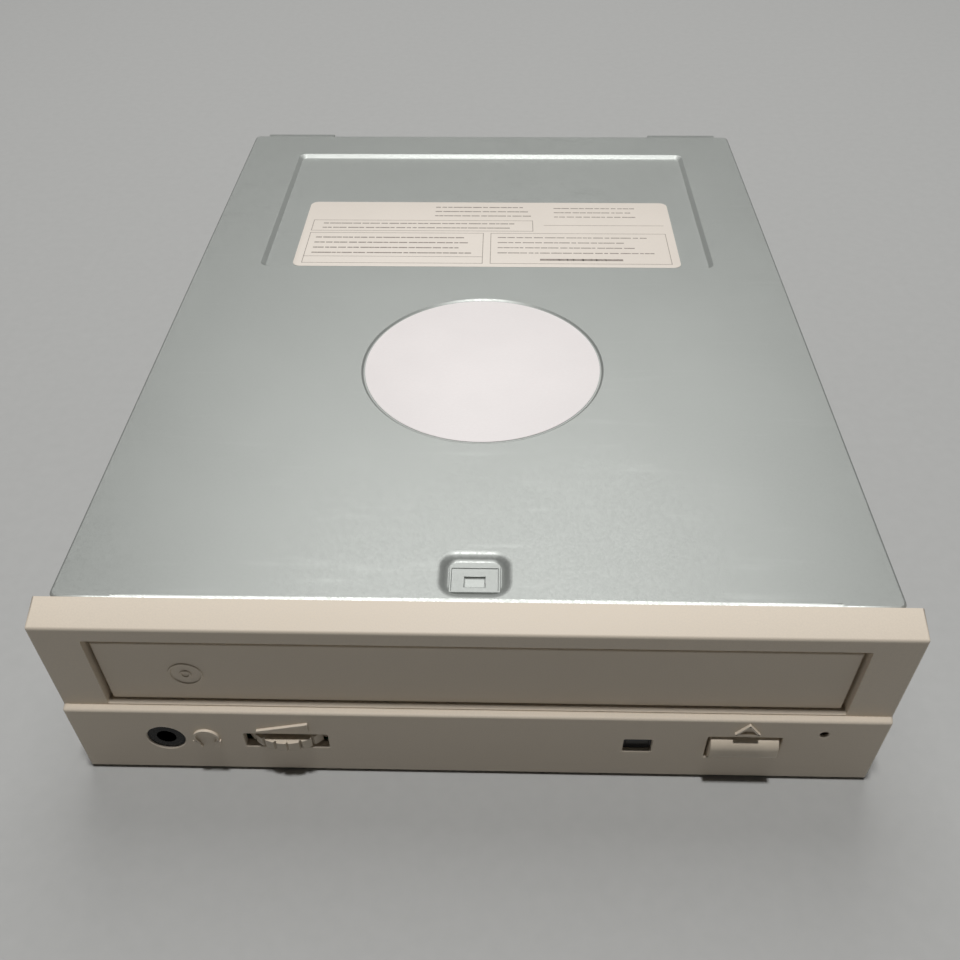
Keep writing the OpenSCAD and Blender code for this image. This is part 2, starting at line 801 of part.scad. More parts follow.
module status_window() {
    color(black) {
        box([window_x - window_w / 2 + 0.1, window_x + window_w / 2 - 0.1],
            [-chin_d + 0.8, chin_back + 0.2], window_z + [0.1, -0.1]);
        box([window_x - window_w / 2 - 0.8, window_x + window_w / 2 + 0.8],
            [chin_back, chin_back + 0.8], [window_z[0] - 0.8, window_z[1] + 0.8]);
    }
}

module front_cable() {
    color(cream) box([8, 22], [1, board_y0 + 2], [fboard_z - 0.5, fboard_z - 0.1]);
    color(white) box([7, 23], [board_y0 + 2, board_y0 + 6], [board_top, board_top + 2.6]);
}

// ---- Loading drive ----

module loading_motor() {
    color(bright) difference() {
        union() {
            disc(motor_pos, [case_wall + 0.8, beam_z[0]], motor_r);
            disc(motor_pos, [beam_z[0], beam_z[0] + 0.9], 3.5);
        }
        disc(motor_pos, [beam_z[0] - 3, beam_z[0] + 2], 1 + run);
    }
}

module pulley_body(pos, z, r, bore) {
    mid = (z[0] + z[1]) / 2;
    difference() {
        disc(pos, z, r);
        difference() {
            disc(pos, [mid - groove / 2 - 0.4, mid + groove / 2 + 0.4], r + e);
            disc(pos, [z[0], z[1]], r - groove);
        }
        if (bore > 0) disc(pos, [z[0] - e, z[1] + e], bore);
    }
}

module motor_pulley() {
    color(brass) pulley_body(motor_pos, pulley_z, motor_pulley_r, 0);
    color(bright) disc(motor_pos, [beam_z[0] - 2.5, pulley_z[0] + e], 1);
}

module pulley_gear() {
    color(white) difference() {
        union() {
            pulley_body(pulley_pos, pulley_z, pulley_r, 0);
            disc(pulley_pos, [pulley_z[1] - e, wheel_z[0]], 3.2);
            gear(pulley_pos, [wheel_z[0] - e, wheel_z[1]], pulley_teeth, wheel_module,
                180 / pulley_teeth);
        }
        disc(pulley_pos, [pulley_z[0] - e, wheel_z[1] + e], post_r + run);
    }
}

module drive_gear() {
    color(white) difference() {
        union() {
            gear(drive_pos, wheel_z, wheel_teeth, wheel_module, 180);
            gear(drive_pos, [wheel_z[1] - e, pinion_z[1]], drive_teeth, rack_module, 0);
        }
        disc(drive_pos, [wheel_z[0] - e, pinion_z[1] + e], post_r + run);
    }
}

module belt_outline(grow) {
    hull() {
        translate(pulley_pos) circle(r = pulley_r - groove + grow, $fn = 64);
        translate(motor_pos) circle(r = motor_pulley_r - groove + grow, $fn = 64);
    }
}

module drive_belt() {
    mid = (pulley_z[0] + pulley_z[1]) / 2;
    color(black) translate([0, 0, mid - belt_w / 2]) linear_extrude(belt_w) difference() {
        belt_outline(groove - 0.1);
        belt_outline(0.12);
    }
}

// ---- Tray ----

module tray() {
    color(black) difference() {
        union() {
            difference() {
                mid_box(tray_half, [tray_start, tray_end], [plate_z, rim_top]);
                difference() {
                    mid_box(tray_half - 2, [tray_start + 2, tray_end - 2],
                        [plate_z - e, rim_top - 1.5]);
                    disc([0, disc_y], [plate_z - 1, rim_top + e], well_r + 1.5, 96);
                    mid_box(slot_half + 2, [disc_y, tray_end], [plate_z - 1, rim_top + e]);
                    box([rack_x - 2, tray_half], [0, tray_end], [plate_z - 1, rim_top + e]);
                }
            }
            both_sides() box([tray_half - skirt_t, tray_half], [tray_start, tray_end],
                [skirt_z, plate_z + e]);
            mid_box(tray_half - 4, [tray_start, tray_start + 2], [opening_z + 2.4, opening_top - 1.6]);
            tray_rack();
        }
        disc([0, disc_y], [plate_z + plate_t, rim_top + e], well_r, 96);
        disc([0, disc_y], [plate_z + plate_t - small_well_drop, rim_top + e], small_well_r, 96);
        disc([0, disc_y], [plate_z - e, rim_top + e], slot_half, 96);
        mid_box(slot_half, [disc_y, tray_end + e], [plate_z - e, rim_top + e]);
    }
}

module tray_rack() {
    pitch = PI * rack_module;
    before = floor((drive_pos[1] - tray_start - 2) / pitch);
    after = ceil(tray_travel / pitch) - 1;
    translate([rack_x, drive_pos[1], skirt_z]) linear_extrude(plate_z - skirt_z + e)
        rack_plan(rack_module, before, after, 4);
}

module tray_front() {
    half = opening_half - front_gap;
    color(beige) difference() {
        mid_box(half, [front_face, tray_start], [opening_z + 0.4, opening_top - 0.55]);
        mid_box(half - 3, [tray_start - 0.6, tray_start + e], [opening_z + 0.9, opening_z + 2]);
    }
}

// ---- Traverse ----

module cam_slider() {
    color(cream) difference() {
        union() {
            box(cam_x, cam_y, cam_z);
            box([cam_x[0] + 2, cam_x[0] + 8], cam_y, [cam_z[1] - e, cam_z[1] + 2]);
        }
        for (x = [-cam_pin_x, cam_pin_x]) cam_slot(x);
    }
}

// Sloping slot: the pin is at its high end at rest
module cam_slot(x) {
    r = cam_pin_r + 0.12;
    run_l = norm([cam_travel, cam_drop]);
    fall = atan2(cam_drop, cam_travel);
    rod_y_axis(x, cam_y + [-e, e], cam_pin_z, r);
    rod_y_axis(x - cam_travel, cam_y + [-e, e], cam_pin_z - cam_drop, r);
    translate([x, 0, cam_pin_z]) rotate([0, -fall, 0])
        box([-run_l, 0], cam_y + [-e, e], [-r, r]);
}

module traverse_base() {
    color(bright) difference() {
        union() {
            mid_box(base_half, base_y, base_z);
            box([base_half - e, sled_gear_pos[0] + 11], [sled_gear_pos[1] - 11,
                sled_motor_pos[1] + 8], base_z);
            box([-base_half, -base_half + 1.5], base_y, [base_z[0], base_z[1] + 3]);
            box([base_half - 1.5, base_half], [base_y[0], sled_gear_pos[1] - 12],
                [base_z[0], base_z[1] + 3]);
            both_sides() {
                box([base_half - 4, base_half], [pivot_y - 3, base_y[1]],
                    [base_z[0], pivot_z + 2]);
                rod_x_axis([base_half - 1, ear_x[1] - 0.5], pivot_y, pivot_z, 1.5);
                rod_y_axis(cam_pin_x, [cam_y[0] - 0.5, base_y[0] + 1], cam_pin_z, cam_pin_r);
            }
            disc(sled_gear_pos, [base_z[0], 23], 1);
        }
        disc(sled_motor_pos, [base_z[0] - e, base_z[1] + e], 2.6);
    }
}

module spindle_motor() {
    color(steel) difference() {
        union() {
            disc([0, disc_y], [base_z[1], motor_top], 12.5);
            disc([0, disc_y], [base_z[1], base_z[1] + 1], 14.5);
        }
        disc([0, disc_y], [base_z[1] + 1, motor_top + e], 1.5 + run);
    }
}

module guide_rods() {
    color(bright) both_sides() rod_y_axis(rod_x, rod_y, rod_z, rod_r);
}

module rod_clips() {
    color(black) difference() {
        both_sides() for (y = [rod_y[0] - 1, rod_y[1] - 3.5])
            box([rod_x - 3, rod_x + 3], [y, y + 4], [base_z[1], rod_z + 2.8]);
        both_sides() rod_y_axis(rod_x, rod_y, rod_z, rod_r + 0.02);
    }
}

module sled_motor() {
    color(bright) difference() {
        union() {
            disc(sled_motor_pos, [base_z[0] - 7, base_z[0]], 6);
            disc(sled_motor_pos, [base_z[0] - e, base_z[1] - 0.3], 2.5);
        }
        disc(sled_motor_pos, [base_z[0] - 2, base_z[1]], 0.8 + run);
    }
}

module sled_pinion() {
    z = [base_z[1] + 0.4, base_z[1] + 2.4];
    color(brass) union() {
        gear(sled_motor_pos, z, sled_motor_teeth, sled_module, -90 + 180 / sled_motor_teeth);
        disc(sled_motor_pos, [base_z[0] - 1.5, z[0] + e], 0.8, 32);
    }
}

module sled_gear() {
    wheel = [base_z[1] + 0.4, base_z[1] + 2.2];
    color(white) difference() {
        union() {
            gear(sled_gear_pos, wheel, sled_wheel_teeth, sled_module, 90);
            gear(sled_gear_pos, [wheel[1] - e, sled_rack_z[1] + 0.3], sled_teeth, sled_module, 180);
        }
        disc(sled_gear_pos, [wheel[0] - e, sled_rack_z[1] + 1], 1 + run);
    }
}

module sled_rack() {
    pitch = PI * sled_module;
    before = floor((sled_travel + 3) / pitch);
    color(white) translate([sled_rack_x, sled_gear_pos[1], sled_rack_z[0]])
        linear_extrude(sled_rack_z[1] - sled_rack_z[0]) mirror([1, 0])
            rack_plan(sled_module, before, 2, sled_rack_x - rod_x - 4);
}

module pickup_body() {
    lug_y = [86, 110];
    color(bright) difference() {
        union() {
            mid_box(sled_half, sled_y, sled_z);
            box([sled_half - e, rod_x + 4], lug_y, [base_z[1] + 2.8, sled_z[1] - 0.4]);
            box([-rod_x - 4, -sled_half + e], [94, 102], [base_z[1] + 2.8, sled_z[1] - 0.4]);
        }
        mid_box(9, [sled_y[0] + 1.5, 99], [22, sled_z[1] + e]);
        rod_y_axis(rod_x, lug_y + [-e, e], rod_z, rod_r + run);
        box([-rod_x - 4 - e, -rod_x + rod_r + run], [94 - e, 102 + e],
            [rod_z - rod_r - run, rod_z + rod_r + run]);
    }
}

module pickup_cover() {
    color(steel) mid_box(sled_half - 1, [99.5, sled_y[1] - 0.5], [sled_z[1], sled_z[1] + 0.4]);
}

module pickup_magnets() {
    color(bright) {
        mid_box(5, [holder_y[0] - 1.8, holder_y[0] - 0.6], [22, sled_z[1] + 0.6]);
        mid_box(5, [holder_y[1] + 0.6, holder_y[1] + 1.8], [22, sled_z[1] + 0.6]);
    }
}

module lens_holder() {
    color(black) difference() {
        mid_box(5, holder_y, [23.4, 26]);
        disc([0, lens_y], [24.8, 26 + e], 2.6);
    }
}

module objective_lens() {
    dome_r = 4;
    rise = 1.1;
    color(white) translate([0, lens_y, 24.8]) {
        cylinder(h = 1, r = 2.5, $fn = 48);
        intersection() {
            translate([0, 0, 1 + rise - dome_r]) sphere(r = dome_r, $fn = 48);
            cylinder(h = 1 + rise, r = 2.5, $fn = 48);
        }
    }
}

// ---- Spindle and clamper ----

module spindle_shaft() {
    color(bright) disc([0, disc_y], [base_z[1] + 1.3, cone_top - 0.4], 1.5, 32);
}

module turntable() {
    color(black) difference() {
        disc([0, disc_y], table_z, table_r);
        disc([0, disc_y], [table_z[0] - e, table_z[1] + e], 1.52);
    }
}

module turntable_mat() {
    color(black) difference() {
        disc([0, disc_y], [table_z[1], table_z[1] + mat_t], table_r);
        disc([0, disc_y], [table_z[1] - e, table_z[1] + mat_t + e], 9);
    }
}

module centring_cone() {
    color(cream) difference() {
        translate([0, disc_y, table_z[1]])
            cylinder(h = cone_top - table_z[1], r1 = cone_r[0], r2 = cone_r[1], $fn = round_fn);
        disc([0, disc_y], [table_z[1] - e, cone_top + e], 1.52);
    }
}

module clamper() {
    bottom = table_z[1] + mat_t + 1.4;
    color(black) difference() {
        union() {
            disc([0, disc_y], [bottom, bottom + 1.4], clamp_hole_r + 1.5);
            disc([0, disc_y], [bottom, bridge_z[1] + 0.3], clamp_hole_r - 0.7);
            disc([0, disc_y], [bridge_z[1] + 0.2, bridge_z[1] + 1.4], clamp_hole_r + 1.7);
        }
        disc([0, disc_y], [bottom - e, bridge_z[1] - 0.4], cone_r[0] + 0.8);
        disc([0, disc_y], [bridge_z[1] + 0.6, bridge_z[1] + 2], 9);
    }
}

module clamper_yoke() {
    color(bright) disc([0, disc_y], [bridge_z[1] + 0.6, bridge_z[1] + 1.6], 8.9);
}

bottom_case();
top_cover();
bezel();
round_label();
rating_label();
loader_frame();
clamp_bridge();
bridge_screws();
frame_screws();
board_screws();
main_board();
insulator_sheet();
board_chips();
capacitors();
ide_connector();
ide_pins();
power_connector();
power_pins();
jumper_block();
jumper_cap();
audio_connectors();
audio_pins();
front_board();
headphone_jack();
volume_pot();
eject_switch();
status_led();
status_window();
front_cable();
loading_motor();
drive_belt();
motor_pulley();
pulley_gear();
drive_gear();
tray();
tray_front();
cam_slider();
traverse_base();
spindle_motor();
guide_rods();
rod_clips();
sled_motor();
spindle_shaft();
turntable();
turntable_mat();
centring_cone();
clamper();
clamper_yoke();
pickup_body();
pickup_cover();
pickup_magnets();
sled_rack();
lens_holder();
objective_lens();
sled_gear();
sled_pinion();
eject_button();
switch_plunger();
volume_wheel();
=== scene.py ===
"""Finished pieces and materials for a half-height tray-loading optical drive."""

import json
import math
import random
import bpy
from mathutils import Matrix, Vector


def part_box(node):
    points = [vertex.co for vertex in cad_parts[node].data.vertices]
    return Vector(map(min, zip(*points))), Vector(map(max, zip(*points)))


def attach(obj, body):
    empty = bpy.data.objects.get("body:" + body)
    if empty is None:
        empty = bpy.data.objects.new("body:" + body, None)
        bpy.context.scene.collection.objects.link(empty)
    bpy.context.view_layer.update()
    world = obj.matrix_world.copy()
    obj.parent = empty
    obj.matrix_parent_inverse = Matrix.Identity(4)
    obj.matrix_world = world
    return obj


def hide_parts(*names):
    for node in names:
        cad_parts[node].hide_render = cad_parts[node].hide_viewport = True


bl_info = {
    "name": "Optical Drive Finisher",
    "version": (1, 0, 0),
    "blender": (4, 5, 0),
    "location": "View3D > Sidebar > Drive",
    "description": "Builds the case, bezel, labels, controls and materials of a bay drive",
    "category": "Object",
}

import bmesh
import bpy
from bpy.props import FloatProperty, FloatVectorProperty, IntProperty, PointerProperty
from mathutils import Matrix, Vector

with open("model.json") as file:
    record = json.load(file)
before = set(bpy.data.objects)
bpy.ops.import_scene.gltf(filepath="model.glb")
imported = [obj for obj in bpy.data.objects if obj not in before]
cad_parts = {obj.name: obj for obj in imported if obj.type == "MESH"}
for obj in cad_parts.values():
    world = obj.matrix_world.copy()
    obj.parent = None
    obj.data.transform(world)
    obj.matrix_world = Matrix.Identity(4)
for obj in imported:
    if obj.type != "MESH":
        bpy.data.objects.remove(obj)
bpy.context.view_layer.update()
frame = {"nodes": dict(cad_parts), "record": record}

MM = 0.001
ROUND_STEPS = 96

# Sizes that the model's boxes don't give, in millimetres.
COVER_SHEET = 0.6
CASE_SHEET = 1.0
BEZEL_WALL = 2.0
BEZEL_FRONT = -5.8      # the bezel's front plane above the ledge
LEDGE = 19.1            # height of the ledge between the two front planes
SLOPE_HALF = 61         # half the width of the cover's sloping front edge
SLOPE_START = 1.05      # where that slope begins
JACK_MOUTH = 3.5
PIN_HOLE = 0.8
SUNK = 0.15             # how far a raised symbol reaches into the plastic
INK = 0.012             # half the thickness of printed ink

# Which way a flat outline faces.
FRONT = Matrix.Rotation(math.radians(90), 4, "X")
BACK = Matrix.Rotation(math.radians(-90), 4, "X")
TOP = Matrix.Identity(4)
BOTTOM = Matrix.Rotation(math.radians(180), 4, "X")
RIGHT = Matrix.Rotation(math.radians(90), 4, "Y")
LEFT = Matrix.Rotation(math.radians(-90), 4, "Y")


# ---- Colours and nodes ----


def linear(hex_colour):
    """Turns an sRGB hex value into a linear colour."""
    channels = [int(hex_colour[i:i + 2], 16) / 255 for i in (1, 3, 5)]
    return tuple(c / 12.92 if c <= 0.04045 else ((c + 0.055) / 1.055) ** 2.4
                 for c in channels)


def add_node(tree, kind, settings=None, links=None):
    """Adds a node, sets its sockets or properties and links what feeds it."""
    node = tree.nodes.new(kind)
    for key, value in (settings or {}).items():
        if isinstance(key, int) or key in node.inputs:
            node.inputs[key].default_value = value
        else:
            setattr(node, key, value)
    for key, source in (links or {}).items():
        tree.links.new(source, node.inputs[key])
    return node


def new_material(name, **sockets):
    """An empty material with one Principled shader, and the object's own coordinates."""
    material = bpy.data.materials.new(name)
    material.use_nodes = True
    tree = material.node_tree
    tree.nodes.clear()
    shader = add_node(tree, "ShaderNodeBsdfPrincipled", sockets)
    add_node(tree, "ShaderNodeOutputMaterial", None, {"Surface": shader.outputs["BSDF"]})
    place = add_node(tree, "ShaderNodeTexCoord").outputs["Object"]
    return material, tree, shader, place


def noise(tree, place, size_mm, detail=2.0, stretch=(1, 1, 1)):
    """Noise whose lumps are size_mm across, drawn out along the axes by stretch."""
    scaled = add_node(tree, "ShaderNodeMapping", {"Scale": stretch}, {"Vector": place})
    return add_node(tree, "ShaderNodeTexNoise", {"Scale": 1 / (size_mm * MM), "Detail": detail},
                    {"Vector": scaled.outputs["Vector"]}).outputs["Fac"]


def vary(tree, fac, low, high, start=0.35, end=0.65):
    """Maps a pattern onto numbers from low to high."""
    limits = {"From Min": start, "From Max": end, "To Min": low, "To Max": high}
    return add_node(tree, "ShaderNodeMapRange", limits, {"Value": fac}).outputs["Result"]


def blend(tree, fac, first, second):
    """Mixes two colours by a pattern. A colour is linear RGB or a socket."""
    mix = add_node(tree, "ShaderNodeMix", {"data_type": "RGBA"}, {"Factor": fac})
    for socket, colour in ((mix.inputs[6], first), (mix.inputs[7], second)):
        if isinstance(colour, tuple):
            socket.default_value = (*colour, 1)
        else:
            tree.links.new(colour, socket)
    return mix.outputs[2]


def raise_surface(tree, shader, height, depth_mm, strength=1.0):
    """Turns a height pattern into bumps depth_mm deep."""
    bump = add_node(tree, "ShaderNodeBump", {"Strength": strength, "Distance": depth_mm * MM},
                    {"Height": height})
    tree.links.new(bump.outputs["Normal"], shader.inputs["Normal"])


def shade(colour, factor):
    """A lighter or darker tone of a colour."""
    return tuple(min(1.0, c * factor) for c in colour)


# ---- Materials ----


def coated_steel(colour, metal, rough):
    """Pre-coated sheet steel, rolled: satin, with a leathery grain and faint rub marks."""
    material, tree, shader, place = new_material("coated_steel", Metallic=metal)
    # The grain of the coating is about 0.1 mm; it is drawn coarser so that it shows.
    grain = noise(tree, place, 0.45, detail=3)
    cloud = noise(tree, place, 26, detail=3)
    rubs = noise(tree, place, 5, detail=5, stretch=(0.25, 2.2, 1))
    tinted = blend(tree, vary(tree, cloud, 0, 1), shade(colour, 0.98), shade(colour, 1.02))
    speckled = blend(tree, vary(tree, grain, 0, 0.4), tinted, shade(colour, 1.1))
    worn = blend(tree, vary(tree, rubs, 0, 0.12, 0.62, 0.75), speckled, shade(colour, 1.2))
    tree.links.new(worn, shader.inputs["Base Color"])
    roughness = add_node(tree, "ShaderNodeMath", {"operation": "ADD"},
                         {0: vary(tree, grain, rough - 0.05, rough + 0.05),
                          1: vary(tree, rubs, 0, -0.06, 0.6, 0.75)})
    tree.links.new(roughness.outputs[0], shader.inputs["Roughness"])
    raise_surface(tree, shader, grain, 0.02, 0.25)
    return material


def plated_steel(name, colour, rough, rolled=(1, 1, 1)):
    """Zinc-plated sheet steel, rolled: cloudy crystalline patches under fine rolling lines."""
    material, tree, shader, place = new_material(name, Metallic=0.9)
    patches = add_node(tree, "ShaderNodeTexVoronoi",
                       {"Scale": 1 / (3.5 * MM), "feature": "SMOOTH_F1"},
                       {"Vector": place}).outputs["Distance"]
    lines = noise(tree, place, 0.8, detail=4, stretch=rolled)
    tinted = blend(tree, vary(tree, patches, 0, 1, 0.1, 0.8), shade(colour, 0.9),
                   shade(colour, 1.05))
    tree.links.new(tinted, shader.inputs["Base Color"])
    tree.links.new(vary(tree, lines, rough - 0.07, rough + 0.09), shader.inputs["Roughness"])
    raise_surface(tree, shader, lines, 0.01, 0.35)
    return material


def textured_abs(name, colour, rough, grain_mm=0.3, aged="#C9B27F"):
    """Injection-moulded ABS from a spark-eroded mould: a fine matt grain, a little yellowed."""
    material, tree, shader, place = new_material(name, IOR=1.53)
    # Spark texture is about 0.1 mm; it is drawn coarser so that it shows.
    grain = noise(tree, place, grain_mm, detail=2)
    cloud = noise(tree, place, 30, detail=2)
    yellowed = blend(tree, vary(tree, cloud, 0, 0.08), colour, linear(aged))
    mottled = blend(tree, vary(tree, grain, 0, 0.6), shade(colour, 0.93), yellowed)
    tree.links.new(mottled, shader.inputs["Base Color"])
    tree.links.new(vary(tree, grain, rough - 0.04, rough + 0.06), shader.inputs["Roughness"])
    raise_surface(tree, shader, grain, 0.03, 0.45)
    return material


def moulded_plastic(name, colour, rough, grain_mm=0.5):
    """Plain injection-moulded engineering plastic: an even semi-matt skin with faint flow marks."""
    material, tree, shader, place = new_material(name, IOR=1.5)
    skin = noise(tree, place, grain_mm, detail=2)
    flow = noise(tree, place, 9, detail=3, stretch=(1, 0.4, 1))
    streaked = blend(tree, vary(tree, flow, 0, 1), shade(colour, 0.92), shade(colour, 1.08))
    tree.links.new(streaked, shader.inputs["Base Color"])
    tree.links.new(vary(tree, skin, rough - 0.05, rough + 0.07), shader.inputs["Roughness"])
    raise_surface(tree, shader, skin, 0.02, 0.3)
    return material


def turned_metal(name, colour, rough, axis=(1, 1, 8)):
    """Turned or ground metal: fine parallel tool lines that spread the highlight."""
    material, tree, shader, place = new_material(name, Metallic=1.0)
    lines = noise(tree, place, 1.2, detail=4, stretch=axis)
    tree.links.new(blend(tree, lines, shade(colour, 0.93), shade(colour, 1.05)),
                   shader.inputs["Base Color"])
    tree.links.new(vary(tree, lines, rough - 0.05, rough + 0.08), shader.inputs["Roughness"])
    raise_surface(tree, shader, lines, 0.006, 0.4)
    return material


def solder_mask():
    """Glass laminate under green solder mask: glossy, with paler copper tracks under it."""
    material, tree, shader, place = new_material("solder_mask", Roughness=0.28)
    tracks = add_node(tree, "ShaderNodeTexBrick", {"Scale": 1 / (9 * MM), "Mortar Size": 0.03,
                      "Color1": (0, 0, 0, 1), "Color2": (0, 0, 0, 1), "Mortar": (1, 1, 1, 1)},
                      {"Vector": place}).outputs["Color"]
    fine = noise(tree, place, 2.5, detail=3)
    base = blend(tree, vary(tree, fine, 0, 1), linear("#123F24"), linear("#1B5231"))
    tree.links.new(blend(tree, tracks, base, linear("#3E8452")), shader.inputs["Base Color"])
    raise_surface(tree, shader, tracks, 0.03, 0.6)
    return material


def label_paper(name, colour, rough):
    """Coated label paper, calendered: nearly smooth, with faint fibres and a soft sheen."""
    material, tree, shader, place = new_material(name, Roughness=rough)
    fibres = noise(tree, place, 0.7, detail=4, stretch=(1, 2.5, 1))
    cloud = noise(tree, place, 14, detail=2)
    toned = blend(tree, vary(tree, cloud, 0, 1), shade(colour, 0.985), shade(colour, 1.01))
    tree.links.new(blend(tree, vary(tree, fibres, 0, 0.3), toned, shade(colour, 0.93)),
                   shader.inputs["Base Color"])
    raise_surface(tree, shader, fibres, 0.01, 0.25)
    return material


def two_tone(name, size_mm, detail, first, second, mapped=None, **sockets):
    """A material that drifts between two colours in lumps size_mm across."""
    material, tree, shader, place = new_material(name, **sockets)
    lumps = noise(tree, place, size_mm, detail=detail)
    pattern = vary(tree, lumps, *mapped) if mapped else lumps
    tree.links.new(blend(tree, pattern, first, second), shader.inputs["Base Color"])
    return material, tree, shader, lumps


def printing_ink(colour):
    """Thin dark grey printing ink: slightly uneven cover over the paper."""
    return two_tone("printing_ink", 0.5, 2, colour, shade(colour, 1.5), (0, 1),
                    Roughness=0.6)[0]


def vulcanised_rubber():
    """Vulcanised rubber, moulded: matt black with a dusty bloom."""
    material, tree, shader, bloom = two_tone("vulcanised_rubber", 1.5, 4, linear("#0D0D0D"),
                                             linear("#2A2A29"), (0, 0.5), Roughness=0.75)
    raise_surface(tree, shader, bloom, 0.02, 0.4)
    return material


def smoked_acrylic():
    """Smoked acrylic window: glossy and nearly black, with the faintest warm tint."""
    return two_tone("smoked_acrylic", 1.5, 2, linear("#0C0A09"), linear("#12100E"), (0, 1),
                    Roughness=0.3, IOR=1.49)[0]


def clear_lens():
    """Moulded acrylic lens: clear with a blue-violet coating."""
    return two_tone("clear_lens", 2, 1, linear("#B7C6E8"), linear("#C9B9E6"), Roughness=0.04,
                    IOR=1.49, **{"Transmission Weight": 0.9})[0]


def tinted_epoxy():
    """Green tinted epoxy of the status lamp: glossy, with a cloudy body."""
    return two_tone("tinted_epoxy", 1, 2, linear("#3E8B42"), linear("#63B35F"), Roughness=0.2,
                    IOR=1.55)[0]


def studio_paper():
    """Matt backdrop paper: pale, even, with a barely visible tooth."""
    return two_tone("studio_paper", 3, 3, linear("#ABABA9"), linear("#B1B1AF"),
                    Roughness=0.85)[0]


# ---- Mesh helpers ----


def turned(plane, x, y, z):
    """Placement of a flat outline: its centre in millimetres, facing as plane says."""
    return Matrix.Translation(Vector((x, y, z)) * MM) @ plane


def outline_rect(bm, place, width, height, corner, steps=6):
    """A flat face with round corners, centred on place."""
    made = bmesh.ops.create_grid(bm, x_segments=1, y_segments=1, size=0.5)
    bmesh.ops.scale(bm, vec=(width * MM, height * MM, 1), verts=made["verts"])
    bmesh.ops.transform(bm, matrix=place, verts=made["verts"])
    face = made["verts"][0].link_faces[0]
    if corner > 0:
        bmesh.ops.bevel(bm, geom=list(face.verts), offset=corner * MM, offset_type="OFFSET",
                        segments=steps, profile=0.5, affect="VERTICES", material=-1)
        faces = [f for f in bm.faces if f.is_valid and len(f.verts) == 4 * (steps + 1)]
        face = min(faces, key=lambda f: (f.calc_center_median() - place.translation).length)
    return face_towards(bm, face, place)


def outline_circle(bm, place, radius, steps=ROUND_STEPS):
    """A flat round face centred on place."""
    made = bmesh.ops.create_circle(bm, cap_ends=True, segments=steps, radius=radius * MM,
                                   matrix=place)
    return face_towards(bm, made["verts"][0].link_faces[0], place)


def face_towards(bm, face, place):
    """Turns a face over if it looks away from where its placement says."""
    face.normal_update()
    if face.normal.dot(place.to_3x3() @ Vector((0, 0, 1))) < 0:
        bmesh.ops.reverse_faces(bm, faces=[face])
        face.normal_update()
    return face


def press(bm, face, *steps):
    """Sinks a face in steps of a run inwards and a depth, and gives the rim this leaves."""
    for inset, depth in steps:
        bmesh.ops.inset_individual(bm, faces=[face], thickness=inset * MM, depth=-depth * MM,
                                   use_even_offset=True)
        face.normal_update()
    return outer_rim(bm, face)


def outer_rim(bm, face):
    """The edges where the sheet that a face belongs to ends."""
    sheet, queue = {face}, [face]
    while queue:
        for edge in queue.pop().edges:
            fresh = [f for f in edge.link_faces if f not in sheet]
            sheet.update(fresh)
            queue.extend(fresh)
    bm.edges.index_update()
    ends = {e for f in sheet for e in f.edges if len(e.link_faces) == 1}
    return sorted(ends, key=lambda e: e.index)


def pierce(bm, face):
    """Opens a face, leaving its edge as a hole."""
    bmesh.ops.delete(bm, geom=[face], context="FACES_ONLY")
    bm.normal_update()


def fill_round(bm, face, rims):
    """Replaces a face by one with holes at the rims, which are lists of edges in its plane."""
    normal = face.normal.copy()
    outer = list(face.edges)
    pierce(bm, face)
    edges = outer + [e for rim in rims for e in rim]
    made = bmesh.ops.triangle_fill(bm, use_beauty=True, use_dissolve=False, edges=edges,
                                   normal=normal)
    fresh = [f for f in made["geom"] if isinstance(f, bmesh.types.BMFace)]
    for f in fresh:
        f.normal_update()
    wrong = [f for f in fresh if f.normal.dot(normal) < 0]
    if wrong:
        bmesh.ops.reverse_faces(bm, faces=wrong)


def face_at(bm, normal, test=lambda c: True):
    """The largest face that looks along normal and whose middle passes the test."""
    found = [f for f in bm.faces
             if f.normal.dot(Vector(normal)) > 0.97 and test(f.calc_center_median() / MM)]
    return max(found, key=lambda f: f.calc_area())


def block(bm, low, high):
    """A box between two corners, in millimetres."""
    low, high = Vector(low) * MM, Vector(high) * MM
    made = bmesh.ops.create_cube(bm, size=1)
    bmesh.ops.scale(bm, vec=high - low, verts=made["verts"])
    bmesh.ops.translate(bm, vec=(low + high) / 2, verts=made["verts"])
    bm.normal_update()
    return made["verts"]


def cut_all(bm, point, normal):
    """Cuts every face where a plane crosses it."""
    bmesh.ops.bisect_plane(bm, geom=bm.verts[:] + bm.edges[:] + bm.faces[:], dist=1e-7,
                           plane_co=point, plane_no=normal)


def bevel_edges(bm, edges, offset, steps=3):
    """Rounds edges by an offset in millimetres."""
    bmesh.ops.bevel(bm, geom=edges, offset=offset * MM, offset_type="OFFSET", segments=steps,
                    profile=0.5, affect="EDGES", clamp_overlap=True, material=-1)
    bm.normal_update()


def sharp_edges(bm, degrees=30, test=lambda a, b: True):
    """Edges that turn by more than degrees, whose two ends pass the test."""
    return [e for e in bm.edges if len(e.link_faces) == 2
            and e.calc_face_angle(0) > math.radians(degrees)
            and test(e.verts[0].co / MM, e.verts[1].co / MM)]


def finish_piece(name, bm, body, material, nodes=(), sharp=32, panels=False):
    """Makes the object, shades it and ties it to the model. Panels keeps its flat faces flat."""
    mesh = bpy.data.meshes.new(name)
    bm.to_mesh(mesh)
    bm.free()
    mesh.set_sharp_from_angle(angle=math.radians(sharp))
    for polygon in mesh.polygons:
        polygon.use_smooth = not (panels and max(abs(c) for c in polygon.normal) > 0.99)
    mesh.materials.append(material)
    piece = bpy.data.objects.new(name, mesh)
    bpy.context.scene.collection.objects.link(piece)
    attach(piece, body)
    if nodes:
        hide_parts(*nodes)
    return piece


